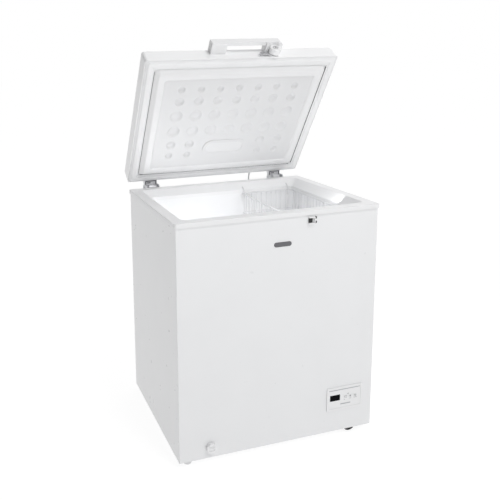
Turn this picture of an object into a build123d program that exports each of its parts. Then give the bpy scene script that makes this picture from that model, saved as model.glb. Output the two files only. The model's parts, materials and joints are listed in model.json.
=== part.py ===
"""Chest freezer with its lid held open on two spring hinges. Millimetres, +Z up, front towards -Y.

Two working frames are used. CABINET has its origin on the floor under the middle of the cabinet. LID is
the same frame turned about the hinge pins by the lid's opening angle, so a lid piece is drawn where it
lies on the closed cabinet and comes out open.
"""

import os
from math import cos, radians, sin, tan

from build123d import *

# Overall size
SHELL_WIDTH = 688
SHELL_DEPTH = 524
FLOOR_GAP = 20
CABINET_TOP = 792
LID_THICKNESS = 56
LID_GAP = 6
RIM_OVERHANG = 4.5
REST_ANGLE = 57
CABINET_SHIFT = -29.0

# Walls and sheet
SHEET = 1.0
FOAM_WALL = 60
FIT = 0.2
RIM_HEIGHT = 14
RIM_BAND = 35
RIM_SKIN = 2.5
THROAT_DROP = 24
LIP_DROP = 36
PANEL_SKIN = 2

# Cavity and compressor bay
CAVITY_FLOOR = 80
STEP_LEFT = 118
STEP_TOP = 275
STEP_WALL = 50
BAY_LEFT = STEP_LEFT + STEP_WALL
BAY_TOP = STEP_TOP - STEP_WALL

# Hinges
HINGE_X = 257
HINGE_WIDTH = 54
PIN_BEHIND = 30
PIN_BELOW_TOP = 5
PIN_RADIUS = 3.5
CAM_RADIUS = 10
CAM_OFFSET = 5
CAM_PHASE = -37.5
CHEEK = 2
RUNNING_GAP = 0.05

# Derived sizes, in the cabinet's own frame
HALF_WIDTH = SHELL_WIDTH / 2
HALF_DEPTH = SHELL_DEPTH / 2
RIM_X = HALF_WIDTH + RIM_OVERHANG
RIM_Y = HALF_DEPTH + RIM_OVERHANG
BAND_X = RIM_X - RIM_BAND - 0.5
BAND_Y = RIM_Y - RIM_BAND - 0.5
THROAT_X = HALF_WIDTH - FOAM_WALL
THROAT_Y = HALF_DEPTH - FOAM_WALL
CAVITY_X = THROAT_X + 2.3
CAVITY_Y = THROAT_Y + 2.3
CAVITY_TOP = CABINET_TOP - THROAT_DROP - 4
RIM_BOTTOM = CABINET_TOP - RIM_HEIGHT
LID_BOTTOM = CABINET_TOP + LID_GAP
LID_TOP = LID_BOTTOM + LID_THICKNESS
PIN_Y = HALF_DEPTH + PIN_BEHIND
PIN_Z = CABINET_TOP - PIN_BELOW_TOP

CABINET = Plane(origin=(0, CABINET_SHIFT, 0))
OPEN_SIN = sin(radians(REST_ANGLE))
OPEN_COS = cos(radians(REST_ANGLE))
LID = Plane(
    origin=(
        0,
        CABINET_SHIFT + PIN_Y - PIN_Y * OPEN_COS - PIN_Z * OPEN_SIN,
        PIN_Z + PIN_Y * OPEN_SIN - PIN_Z * OPEN_COS,
    ),
    x_dir=(1, 0, 0),
    z_dir=(0, OPEN_SIN, OPEN_COS),
)

SCREW_RADIUS = 2.4
BASE_SCREWS = [(side * HINGE_X + dx, z) for side in (-1, 1) for dx in (-14, 14) for z in (722, 750)]
LEAF_SCREWS = [(side * HINGE_X + dx, z) for side in (-1, 1) for dx in (-14, 14) for z in (818, 836)]

os.makedirs("parts", exist_ok=True)


def save(piece, name):
    """Labels a finished piece and writes it as one STEP file."""
    piece.part.label = name
    export_step(piece.part, f"parts/{name}.step")


def facing_front(frame, y):
    """Plane across the frame at y: its own x is the frame's X, its own y the frame's Z, and it faces -Y."""
    return Plane(frame.from_local_coords((0, y, 0)), x_dir=frame.x_dir, z_dir=-frame.y_dir)


def facing_right(frame, x):
    """Plane along the frame at x: its own x is the frame's Y, its own y the frame's Z, and it faces +X."""
    return Plane(frame.from_local_coords((x, 0, 0)), x_dir=frame.y_dir, z_dir=frame.x_dir)


def bent_path(points):
    """Straight runs through the points, joined by tangent arcs as large as the runs allow."""
    spots = [CABINET.from_local_coords(Vector(*p)) for p in points]
    runs = [b - a for a, b in zip(spots, spots[1:])]
    radii = []
    for before, after in zip(runs, runs[1:]):
        half_turn = radians(before.get_angle(after)) / 2
        radii.append(0.45 * min(before.length, after.length) / tan(half_turn))
    return FilletPolyline(*spots, radius=radii, mode=Mode.PRIVATE)


def rod(points, radius):
    """A round rod along a bent path."""
    line = bent_path(points)
    with BuildPart() as made:
        with BuildSketch(line ^ 0):
            Circle(radius)
        sweep(path=line)
    return made


def cavity(grow):
    """The storage space with its step over the compressor bay, grown outwards by a sheet thickness."""
    with BuildPart() as made:
        with BuildSketch(CABINET.offset(CAVITY_FLOOR - grow)):
            RectangleRounded(2 * (CAVITY_X + grow), 2 * (CAVITY_Y + grow), 18 + grow)
        extrude(amount=CAVITY_TOP - CAVITY_FLOOR + grow)
        with BuildSketch(CABINET.offset(CAVITY_FLOOR - grow)):
            with Locations(((STEP_LEFT + grow + 400) / 2, 0)):
                Rectangle(400 - STEP_LEFT - grow, 600)
        extrude(amount=STEP_TOP - CAVITY_FLOOR, mode=Mode.SUBTRACT)
    return made


def throat(grow, top):
    """The sloped mouth of the freezer, from the sealing band down to the lip, grown outwards."""
    slope_bottom = CABINET_TOP - THROAT_DROP
    share = (top - slope_bottom) / THROAT_DROP
    top_x = THROAT_X + share * (BAND_X - THROAT_X)
    top_y = THROAT_Y + share * (BAND_Y - THROAT_Y)
    with BuildPart() as made:
        with BuildSketch(CABINET.offset(slope_bottom)):
            RectangleRounded(2 * (THROAT_X + grow), 2 * (THROAT_Y + grow), 18 + grow)
        with BuildSketch(CABINET.offset(top)):
            RectangleRounded(2 * (top_x + grow), 2 * (top_y + grow), 18 + grow)
        loft()
        with BuildSketch(CABINET.offset(CABINET_TOP - LIP_DROP)):
            RectangleRounded(2 * (THROAT_X + grow), 2 * (THROAT_Y + grow), 18 + grow)
        extrude(amount=LIP_DROP - THROAT_DROP)
    return made


def winding(half_x, half_y, low, pitch, turns):
    """Points of a tube wound round the cabinet, which climbs from turn to turn across the back."""
    points = []
    for turn in range(turns):
        z = low + turn * pitch
        points.append((40, half_y, z))
        points.append((half_x, half_y, z))
        points.append((half_x, -half_y, z))
        points.append((-half_x, -half_y, z))
        points.append((-half_x, half_y, z))
        points.append((-40, half_y, z))
    return points


def wound_tube(radius, half_x, half_y, low, pitch, turns):
    """A rod of the given radius along a winding, with arcs at its corners."""
    spots = [CABINET.from_local_coords(Vector(*p)) for p in winding(half_x, half_y, low, pitch, turns)]
    line = FilletPolyline(*spots, radius=16, mode=Mode.PRIVATE)
    with BuildPart() as made:
        with BuildSketch(line ^ 0):
            Circle(radius)
        sweep(path=line)
    return made


# ---------------------------------------------------------------- cabinet shell and base

KNOB_X = -240
KNOB_Z = 56
PANEL_X = 240
PANEL_Z = 136
PANEL_WIDTH = 134
PANEL_HEIGHT = 82
GRILLE_Y = 40
GRILLE_Z = 125
GRILLE_LENGTH = 180
GRILLE_HEIGHT = 120
SHELL_TOP = CABINET_TOP - 3
STRIKE_X = 105
STRIKE_Z = 761

with BuildPart() as outer_shell:
    with BuildSketch(CABINET.offset(FLOOR_GAP)):
        Rectangle(SHELL_WIDTH, SHELL_DEPTH)
    extrude(amount=SHELL_TOP - FLOOR_GAP)
    fillet(outer_shell.edges().filter_by(Axis.Z).group_by(Axis.Y)[0], 2)
    with BuildSketch(CABINET.offset(FLOOR_GAP)):
        with Locations((0, 10)):
            Rectangle(SHELL_WIDTH - 2 * SHEET, SHELL_DEPTH - 2 * SHEET + 20)
    extrude(amount=SHELL_TOP - FLOOR_GAP, mode=Mode.SUBTRACT)
    with BuildSketch(facing_front(CABINET, -HALF_DEPTH)):
        with Locations((KNOB_X, KNOB_Z)):
            Circle(11)
        with Locations((PANEL_X, PANEL_Z)):
            Rectangle(PANEL_WIDTH - 12, PANEL_HEIGHT - 12)
    extrude(amount=-5, mode=Mode.SUBTRACT)
    with BuildSketch(facing_right(CABINET, HALF_WIDTH)):
        with Locations((GRILLE_Y, GRILLE_Z)):
            Rectangle(GRILLE_LENGTH - 10, GRILLE_HEIGHT - 10)
    extrude(amount=-5, mode=Mode.SUBTRACT)
save(outer_shell, "outer_shell")

INNER_X = HALF_WIDTH - SHEET - FIT
INNER_Y = HALF_DEPTH - SHEET - FIT
GLAND_X = 150
GLAND_Z = 736
CORD_X = 250
CORD_Z = 60

with BuildPart() as rear_panel:
    with BuildSketch(facing_front(CABINET, HALF_DEPTH)):
        with Locations((0, (FLOOR_GAP + SHELL_TOP) / 2)):
            Rectangle(2 * INNER_X, SHELL_TOP - FLOOR_GAP)
        with Locations(((BAY_LEFT + INNER_X) / 2, (FLOOR_GAP + BAY_TOP) / 2)):
            Rectangle(INNER_X - BAY_LEFT, BAY_TOP - FLOOR_GAP, mode=Mode.SUBTRACT)
        with Locations((GLAND_X, GLAND_Z)):
            Circle(6, mode=Mode.SUBTRACT)
        with Locations(*BASE_SCREWS):
            Circle(SCREW_RADIUS, mode=Mode.SUBTRACT)
    extrude(amount=SHEET)
save(rear_panel, "rear_panel")

FOOT_X = -309
FOOT_Y = 236
SOCKET_TOP = 46

with BuildPart() as base_pan:
    with BuildSketch(CABINET.offset(FLOOR_GAP)):
        with Locations(((BAY_LEFT - 1 - INNER_X) / 2, 0)):
            Rectangle(INNER_X + BAY_LEFT - 1, 2 * INNER_Y)
    extrude(amount=1.5)
    with BuildSketch(CABINET.offset(FLOOR_GAP)):
        with Locations((FOOT_X, -FOOT_Y), (FOOT_X, FOOT_Y)):
            Circle(8)
    extrude(amount=SOCKET_TOP - FLOOR_GAP)
    with BuildSketch(CABINET.offset(FLOOR_GAP)):
        with Locations((FOOT_X, -FOOT_Y), (FOOT_X, FOOT_Y)):
            Circle(4 + RUNNING_GAP)
    extrude(amount=SOCKET_TOP - FLOOR_GAP - 2, mode=Mode.SUBTRACT)
save(base_pan, "base_pan")

# Levelling feet screw into the sockets of the base pan.
for foot_name, foot_y in (("foot_front", -FOOT_Y), ("foot_rear", FOOT_Y)):
    with BuildPart() as foot:
        with BuildSketch(facing_right(CABINET, FOOT_X)):
            with BuildLine():
                Polyline(
                    (foot_y, 0),
                    (foot_y + 11, 0),
                    (foot_y + 13, 3),
                    (foot_y + 13, 9),
                    (foot_y + 9, 12),
                    (foot_y + 4, 12),
                    (foot_y + 4, SOCKET_TOP - 5),
                    (foot_y, SOCKET_TOP - 5),
                    close=True,
                )
            make_face()
        revolve(axis=Axis(CABINET.from_local_coords((FOOT_X, foot_y, 0)), (0, 0, 1)))
    save(foot, foot_name)

# ---------------------------------------------------------------- liner, rim and foam

cavity_inside = cavity(0)
cavity_outside = cavity(SHEET)
DRAIN_Y = -150
DRAIN_RADIUS = 9

with BuildPart() as inner_liner:
    add(cavity_outside.part)
    add(cavity_inside.part, mode=Mode.SUBTRACT)
    with BuildSketch(CABINET.offset(CAVITY_FLOOR)):
        with Locations((KNOB_X, DRAIN_Y)):
            Circle(DRAIN_RADIUS + FIT)
    extrude(amount=-5, mode=Mode.SUBTRACT)
save(inner_liner, "inner_liner")

with BuildPart() as rim_frame:
    with BuildSketch(CABINET.offset(RIM_BOTTOM)):
        RectangleRounded(2 * RIM_X, 2 * RIM_Y, 8)
    extrude(amount=RIM_HEIGHT)
    fillet(rim_frame.faces().sort_by(Axis.Z)[-1].edges(), 1.5)
    with BuildSketch(CABINET.offset(RIM_BOTTOM)):
        Rectangle(2 * (HALF_WIDTH + FIT), 2 * (HALF_DEPTH + FIT))
    extrude(amount=RIM_HEIGHT - RIM_SKIN, mode=Mode.SUBTRACT)
    add(throat(RIM_SKIN, CABINET_TOP - 1).part)
    add(throat(0, CABINET_TOP).part, mode=Mode.SUBTRACT)
    with BuildSketch(CABINET.offset(CABINET_TOP - LIP_DROP)):
        RectangleRounded(600, 440, 20)
        RectangleRounded(2 * (CAVITY_X - FIT), 2 * (CAVITY_Y - FIT), 18, mode=Mode.SUBTRACT)
    extrude(amount=LIP_DROP - THROAT_DROP - 3, mode=Mode.SUBTRACT)
save(rim_frame, "rim_frame")

COIL_RADIUS = 3
COIL_LOW = 330
COIL_PITCH = 68
COIL_TURNS = 6
EVAPORATOR_X = CAVITY_X + SHEET + COIL_RADIUS + 0.1
EVAPORATOR_Y = CAVITY_Y + SHEET + COIL_RADIUS + 0.1

evaporator_tube = wound_tube(
    COIL_RADIUS, EVAPORATOR_X, EVAPORATOR_Y, COIL_LOW, COIL_PITCH, COIL_TURNS
)
save(evaporator_tube, "evaporator_tube")


def drain_elbow(outer, inner):
    """The drain channel: down from the cavity floor, then forward to the front wall."""
    with BuildPart() as made:
        for radius, mode in ((outer, Mode.ADD), (inner, Mode.SUBTRACT)):
            if not radius:
                continue
            with BuildSketch(CABINET.offset(CAVITY_FLOOR - SHEET)):
                with Locations((KNOB_X, DRAIN_Y)):
                    Circle(radius)
            extrude(amount=-(CAVITY_FLOOR - SHEET - KNOB_Z), mode=mode)
            with BuildSketch(facing_front(CABINET, -INNER_Y)):
                with Locations((KNOB_X, KNOB_Z)):
                    Circle(radius)
            extrude(amount=-(INNER_Y + DRAIN_Y), mode=mode)
            with Locations(CABINET.from_local_coords((KNOB_X, DRAIN_Y, KNOB_Z))):
                Sphere(radius, mode=mode)
    return made


drain_pipe = drain_elbow(12, 9)
save(drain_pipe, "drain_pipe")

coil_groove = wound_tube(COIL_RADIUS + 0.1, EVAPORATOR_X, EVAPORATOR_Y, COIL_LOW, COIL_PITCH, COIL_TURNS)

with BuildPart() as cabinet_foam:
    with BuildSketch(CABINET.offset(FLOOR_GAP + 1.5)):
        Rectangle(2 * INNER_X, 2 * (INNER_Y - FIT))
    extrude(amount=CABINET_TOP - RIM_SKIN - FIT - FLOOR_GAP - 1.5)
    add(cavity(SHEET + 0.1).part, mode=Mode.SUBTRACT)
    add(throat(RIM_SKIN + FIT, CABINET_TOP).part, mode=Mode.SUBTRACT)
    with BuildSketch(CABINET.offset(CAVITY_TOP - 2)):
        RectangleRounded(2 * (CAVITY_X + SHEET + 0.1), 2 * (CAVITY_Y + SHEET + 0.1), 19)
    extrude(amount=10, mode=Mode.SUBTRACT)
    with BuildSketch(CABINET.offset(0)):
        with Locations(((BAY_LEFT - 1 + 400) / 2, 0)):
            Rectangle(401 - BAY_LEFT, 600)
    extrude(amount=BAY_TOP + 1, mode=Mode.SUBTRACT)
    with BuildSketch(CABINET.offset(0)):
        with Locations((FOOT_X, -FOOT_Y), (FOOT_X, FOOT_Y)):
            Circle(8)
    extrude(amount=SOCKET_TOP, mode=Mode.SUBTRACT)
    with BuildSketch(facing_front(CABINET, HALF_DEPTH)):
        with Locations((GLAND_X, GLAND_Z)):
            Circle(9)
        with Locations(*BASE_SCREWS):
            Circle(SCREW_RADIUS)
    extrude(amount=20, mode=Mode.SUBTRACT)
    add(drain_elbow(12, 0).part, mode=Mode.SUBTRACT)
    add(coil_groove.part, mode=Mode.SUBTRACT)
save(cabinet_foam, "cabinet_foam")

# ---------------------------------------------------------------- front: strike, badge, drain

# The keeper is open towards the side the lock's bent tip swings in from. Two screws hold its plate.
with BuildPart() as lock_strike:
    with BuildSketch(facing_front(CABINET, -HALF_DEPTH)):
        with Locations((STRIKE_X, STRIKE_Z)):
            RectangleRounded(34, 30, 3)
    extrude(amount=1.5)
    with BuildSketch(facing_front(CABINET, -HALF_DEPTH)):
        with Locations((STRIKE_X - 3, STRIKE_Z)):
            RectangleRounded(22, 24, 3)
    extrude(amount=8)
    with BuildSketch(facing_front(CABINET, -HALF_DEPTH - 8)):
        with Locations((STRIKE_X - 6, STRIKE_Z)):
            Rectangle(22, 16)
    extrude(amount=-6.5, mode=Mode.SUBTRACT)
    with BuildSketch(facing_front(CABINET, -HALF_DEPTH - 1.5)):
        with Locations((STRIKE_X + 12.5, STRIKE_Z - 8), (STRIKE_X + 12.5, STRIKE_Z + 8)):
            Circle(2.6)
    extrude(amount=-1.2, mode=Mode.SUBTRACT)
save(lock_strike, "lock_strike")

with BuildPart() as badge:
    with BuildSketch(facing_front(CABINET, -HALF_DEPTH)):
        with Locations((5, 693)):
            SlotOverall(60, 15)
    extrude(amount=1.2)
    fillet(badge.faces().sort_by(Axis.Y)[0].edges(), 0.5)
save(badge, "badge")

SLEEVE_OUTER = 8.9
SLEEVE_INNER = 6.5
KNOB_RADIUS = 16
KNOB_FRONT = -HALF_DEPTH - 12

with BuildPart() as drain_sleeve:
    with BuildSketch(facing_front(CABINET, KNOB_FRONT + 6)):
        with Locations((KNOB_X, KNOB_Z)):
            Circle(SLEEVE_OUTER)
            Circle(SLEEVE_INNER, mode=Mode.SUBTRACT)
    extrude(amount=-60)
save(drain_sleeve, "drain_sleeve")

with BuildPart() as drain_knob:
    with BuildSketch(facing_front(CABINET, KNOB_FRONT)):
        with Locations((KNOB_X, KNOB_Z)):
            Circle(KNOB_RADIUS)
    extrude(amount=-11.5)
    fillet(drain_knob.faces().sort_by(Axis.Y)[0].edges(), 2.5)
    with BuildSketch(facing_front(CABINET, KNOB_FRONT + 11.5)):
        with Locations((KNOB_X, KNOB_Z)):
            Circle(13)
    extrude(amount=5.5 + 0.3, mode=Mode.SUBTRACT)
    with BuildSketch(facing_front(CABINET, KNOB_FRONT)):
        with Locations((KNOB_X, KNOB_Z + 5)):
            SlotOverall(20, 6)
        with Locations((KNOB_X, KNOB_Z - 5)):
            SlotOverall(20, 6)
    extrude(amount=-1.5, mode=Mode.SUBTRACT)
    with BuildSketch(facing_front(CABINET, KNOB_FRONT + 4)):
        with Locations((KNOB_X, KNOB_Z)):
            Circle(SLEEVE_INNER - RUNNING_GAP)
    extrude(amount=-14)
save(drain_knob, "drain_knob")

with BuildPart() as drain_plug:
    with BuildSketch(CABINET.offset(CAVITY_FLOOR + 0.3)):
        with Locations((KNOB_X, DRAIN_Y)):
            Circle(16)
    extrude(amount=4)
    fillet(drain_plug.faces().sort_by(Axis.Z)[-1].edges(), 1.5)
    with BuildSketch(CABINET.offset(CAVITY_FLOOR + 0.3)):
        with Locations((KNOB_X, DRAIN_Y)):
            Circle(DRAIN_RADIUS - RUNNING_GAP)
    extrude(amount=-10)
    with BuildSketch(CABINET.offset(CAVITY_FLOOR + 4)):
        with Locations((KNOB_X, DRAIN_Y)):
            SlotOverall(22, 5)
    extrude(amount=8)
save(drain_plug, "drain_plug")

# ---------------------------------------------------------------- compressor bay

with BuildPart() as bay_partition:
    with BuildSketch(facing_front(CABINET, -INNER_Y)):
        with Locations((BAY_LEFT - 0.5, (FLOOR_GAP + 1.5 + BAY_TOP) / 2)):
            Rectangle(1, BAY_TOP - FLOOR_GAP - 1.5)
        with Locations(((BAY_LEFT - 1 + INNER_X) / 2, BAY_TOP + 0.5)):
            Rectangle(INNER_X - BAY_LEFT + 1, 1)
    extrude(amount=-(2 * INNER_Y - FIT))
save(bay_partition, "bay_partition")

ROLLER_X = 272
ROLLER_Y = 238
ROLLER_RADIUS = 24
ROLLER_WIDTH = 20
AXLE_RADIUS = 4
TRAY_TOP = FLOOR_GAP + 2
COMPRESSOR_X = 256
COMPRESSOR_Y = 120
MOUNT_X = 55
MOUNT_Y = 75
MOUNT_SPOTS = [
    (COMPRESSOR_X + sx * MOUNT_X, COMPRESSOR_Y + sy * MOUNT_Y) for sx in (-1, 1) for sy in (-1, 1)
]

with BuildPart() as compressor_tray:
    with BuildSketch(CABINET.offset(FLOOR_GAP)):
        with Locations(((BAY_LEFT + FIT + INNER_X) / 2, 0)):
            Rectangle(INNER_X - BAY_LEFT - FIT, 2 * INNER_Y)
        with Locations((ROLLER_X, -ROLLER_Y), (ROLLER_X, ROLLER_Y)):
            Rectangle(2 * ROLLER_RADIUS + 8, ROLLER_WIDTH + 12, mode=Mode.SUBTRACT)
        with Locations((COMPRESSOR_X, -60)):
            with GridLocations(0, 14, 1, 8):
                SlotOverall(110, 6, mode=Mode.SUBTRACT)
        with Locations(*MOUNT_SPOTS):
            Circle(3.2, mode=Mode.SUBTRACT)
    extrude(amount=TRAY_TOP - FLOOR_GAP)
save(compressor_tray, "compressor_tray")

# Each roller turns on an axle held by an inverted channel that stands on the tray by a flange at each end.
EAR_INSIDE = ROLLER_WIDTH / 2 + 1
EAR_OUTSIDE = EAR_INSIDE + 2.5
BRACKET_TOP = 2 * ROLLER_RADIUS + 6
BRACKET_LENGTH = 54
FLANGE = 14

for end_name, roller_y in (("front", -ROLLER_Y), ("rear", ROLLER_Y)):
    with BuildPart() as roller:
        with BuildSketch(facing_front(CABINET, roller_y - ROLLER_WIDTH / 2)):
            with Locations((ROLLER_X, ROLLER_RADIUS)):
                Circle(ROLLER_RADIUS)
                Circle(AXLE_RADIUS + RUNNING_GAP, mode=Mode.SUBTRACT)
        extrude(amount=-ROLLER_WIDTH)
        chamfer(roller.edges().filter_by(GeomType.CIRCLE).sort_by(SortBy.RADIUS)[-2:], 1.5)
        with BuildSketch(facing_front(CABINET, roller_y - ROLLER_WIDTH / 2)):
            with Locations((ROLLER_X, ROLLER_RADIUS)):
                Circle(17)
                Circle(8, mode=Mode.SUBTRACT)
        extrude(amount=-4, mode=Mode.SUBTRACT)
    save(roller, f"roller_{end_name}")

with BuildPart() as roller_brackets:
    for roller_y in (-ROLLER_Y, ROLLER_Y):
        with BuildSketch(CABINET.offset(TRAY_TOP)):
            with Locations((ROLLER_X, roller_y)):
                Rectangle(BRACKET_LENGTH + 2 * FLANGE, 2 * EAR_OUTSIDE)
                Rectangle(BRACKET_LENGTH, 2 * EAR_INSIDE, mode=Mode.SUBTRACT)
        extrude(amount=2.5)
        with BuildSketch(facing_right(CABINET, ROLLER_X - BRACKET_LENGTH / 2)):
            with Locations((roller_y, (BRACKET_TOP + ROLLER_RADIUS - 8) / 2)):
                Rectangle(2 * EAR_OUTSIDE, BRACKET_TOP - ROLLER_RADIUS + 8)
            with Locations((roller_y, (BRACKET_TOP + ROLLER_RADIUS - 8) / 2 - 2.5)):
                Rectangle(2 * EAR_INSIDE, BRACKET_TOP - ROLLER_RADIUS + 8, mode=Mode.SUBTRACT)
        extrude(amount=BRACKET_LENGTH)
        with BuildSketch(facing_front(CABINET, roller_y - 20)):
            with Locations((ROLLER_X, ROLLER_RADIUS)):
                Circle(AXLE_RADIUS)
        extrude(amount=-40, mode=Mode.SUBTRACT)
save(roller_brackets, "roller_brackets")

with BuildPart() as roller_axles:
    for roller_y in (-ROLLER_Y, ROLLER_Y):
        with BuildSketch(facing_front(CABINET, roller_y - EAR_OUTSIDE - 1.5)):
            with Locations((ROLLER_X, ROLLER_RADIUS)):
                Circle(AXLE_RADIUS)
        extrude(amount=-2 * EAR_OUTSIDE - 3)
    chamfer(roller_axles.edges().filter_by(GeomType.CIRCLE), 0.6)
save(roller_axles, "roller_axles")

SOLE_BOTTOM = TRAY_TOP + 18

with BuildPart() as compressor_grommets:
    with BuildSketch(CABINET.offset(TRAY_TOP)):
        with Locations(*MOUNT_SPOTS):
            Circle(10)
    extrude(amount=SOLE_BOTTOM - TRAY_TOP)
    with BuildSketch(CABINET.offset(TRAY_TOP)):
        with Locations(*MOUNT_SPOTS):
            Circle(3.2)
    extrude(amount=SOLE_BOTTOM - TRAY_TOP, mode=Mode.SUBTRACT)
save(compressor_grommets, "compressor_grommets")

with BuildPart() as compressor_bolts:
    for start, length, radius in (
        (FLOOR_GAP - 4, 4, 5.5),
        (FLOOR_GAP, SOLE_BOTTOM - FLOOR_GAP + 6, 3),
        (SOLE_BOTTOM + 2.5, 5, 5.5),
    ):
        with BuildSketch(CABINET.offset(start)):
            with Locations(*MOUNT_SPOTS):
                Circle(radius)
        extrude(amount=length)
save(compressor_bolts, "compressor_bolts")

CAN_RADIUS = 66
SEAM_HEIGHT = 118

with BuildPart() as compressor:
    with BuildSketch(CABINET.offset(SOLE_BOTTOM)):
        with Locations((COMPRESSOR_X, COMPRESSOR_Y)):
            RectangleRounded(2 * MOUNT_X + 26, 2 * MOUNT_Y + 26, 12)
        with Locations(*MOUNT_SPOTS):
            Circle(3.2, mode=Mode.SUBTRACT)
    extrude(amount=2.5)
    with BuildSketch(CABINET.offset(SOLE_BOTTOM + 1)):
        with Locations((COMPRESSOR_X, COMPRESSOR_Y)):
            Circle(46)
    extrude(amount=20)
    with BuildSketch(CABINET.offset(SEAM_HEIGHT)):
        with Locations((COMPRESSOR_X, COMPRESSOR_Y)):
            Circle(CAN_RADIUS + 5)
    extrude(amount=4)
    with BuildSketch(CABINET.offset(SOLE_BOTTOM + 8)):
        with Locations((COMPRESSOR_X, COMPRESSOR_Y)):
            Circle(CAN_RADIUS)
    extrude(amount=150)
    fillet(compressor.edges().filter_by(GeomType.CIRCLE).group_by(Axis.Z)[-1], 44)
save(compressor, "compressor")

with BuildPart() as starter_cover:
    with BuildSketch(CABINET.offset(80)):
        with Locations((COMPRESSOR_X, COMPRESSOR_Y - CAN_RADIUS - 20)):
            RectangleRounded(56, 36, 5)
    extrude(amount=60)
    fillet(starter_cover.faces().sort_by(Axis.Z)[-1].edges(), 3)
    add(compressor.part, mode=Mode.SUBTRACT)
save(starter_cover, "starter_cover")

DRIER_X = 186
DRIER_Y = 215

with BuildPart() as filter_drier:
    with BuildSketch(facing_right(CABINET, DRIER_X)):
        with BuildLine():
            Polyline(
                (DRIER_Y, 60),
                (DRIER_Y + 3, 60),
                (DRIER_Y + 3, 72),
                (DRIER_Y + 9, 80),
                (DRIER_Y + 9, 150),
                (DRIER_Y + 3, 158),
                (DRIER_Y + 3, 170),
                (DRIER_Y, 170),
                close=True,
            )
        make_face()
    revolve(axis=Axis(CABINET.from_local_coords((DRIER_X, DRIER_Y, 0)), (0, 0, 1)))
save(filter_drier, "filter_drier")

suction_pipe = rod(
    (
        (COMPRESSOR_X + 10, COMPRESSOR_Y + CAN_RADIUS + 0.2, 92),
        (COMPRESSOR_X + 10, COMPRESSOR_Y + CAN_RADIUS + 30, 92),
        (COMPRESSOR_X - 20, COMPRESSOR_Y + CAN_RADIUS + 45, 130),
        (COMPRESSOR_X - 20, COMPRESSOR_Y + CAN_RADIUS + 45, 190),
        (COMPRESSOR_X - 50, COMPRESSOR_Y + CAN_RADIUS + 30, 214),
        (BAY_LEFT + 0.2, COMPRESSOR_Y + CAN_RADIUS + 30, 214),
    ),
    4,
)
discharge_pipe = rod(
    (
        (COMPRESSOR_X - CAN_RADIUS - 0.2, COMPRESSOR_Y, 92),
        (COMPRESSOR_X - CAN_RADIUS - 10, COMPRESSOR_Y, 92),
        (COMPRESSOR_X - CAN_RADIUS - 10, COMPRESSOR_Y - 30, 120),
        (COMPRESSOR_X - CAN_RADIUS - 10, COMPRESSOR_Y - 50, 204),
        (BAY_LEFT + 0.2, COMPRESSOR_Y - 50, 204),
    ),
    3,
)

with BuildPart() as refrigerant_pipes:
    add(suction_pipe.part)
    add(discharge_pipe.part)
save(refrigerant_pipes, "refrigerant_pipes")

with BuildPart() as bay_cover:
    with BuildSketch(facing_front(CABINET, HALF_DEPTH)):
        with Locations(((BAY_LEFT + FIT + INNER_X) / 2, (TRAY_TOP + FIT + BAY_TOP) / 2)):
            Rectangle(INNER_X - BAY_LEFT - 2 * FIT, BAY_TOP - TRAY_TOP - 2 * FIT)
        with Locations((COMPRESSOR_X, 155)):
            with GridLocations(52, 12, 3, 8):
                SlotOverall(42, 6, mode=Mode.SUBTRACT)
        with Locations((CORD_X, CORD_Z)):
            Circle(8, mode=Mode.SUBTRACT)
    extrude(amount=SHEET)
save(bay_cover, "bay_cover")

with BuildPart() as cord_gland:
    with BuildSketch(facing_front(CABINET, HALF_DEPTH)):
        with Locations((CORD_X, CORD_Z)):
            Circle(11)
    extrude(amount=-5)
    with BuildSketch(facing_front(CABINET, HALF_DEPTH - 4)):
        with Locations((CORD_X, CORD_Z)):
            Circle(7.8)
    extrude(amount=-9)
    with BuildSketch(facing_front(CABINET, HALF_DEPTH - 4)):
        with Locations((CORD_X, CORD_Z)):
            Circle(3.5)
    extrude(amount=-12, mode=Mode.SUBTRACT)
save(cord_gland, "cord_gland")

with BuildPart() as side_grille:
    with BuildSketch(facing_right(CABINET, HALF_WIDTH)):
        with Locations((GRILLE_Y, GRILLE_Z)):
            RectangleRounded(GRILLE_LENGTH, GRILLE_HEIGHT, 5)
    extrude(amount=2.5)
    with BuildSketch(facing_right(CABINET, HALF_WIDTH)):
        with Locations((GRILLE_Y, GRILLE_Z)):
            Rectangle(GRILLE_LENGTH - 10 - 2 * FIT, GRILLE_HEIGHT - 10 - 2 * FIT)
    extrude(amount=-6)
    with BuildSketch(facing_right(CABINET, HALF_WIDTH + 2.5)):
        with Locations((GRILLE_Y, GRILLE_Z)):
            with GridLocations(80, 10, 2, 10):
                SlotOverall(70, 5)
    extrude(amount=-12, mode=Mode.SUBTRACT)
save(side_grille, "side_grille")

# ---------------------------------------------------------------- control panel

BEZEL_PROUD = 3
WINDOW_X = -36
WINDOW_WIDTH = 38
WINDOW_HEIGHT = 21
KEY_Z = 3
KEY_SPOTS = {"key_mode": 4, "key_colder": 22, "key_power": 41}
KEY_WIDTH = 13
KEY_HEIGHT = 10

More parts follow.
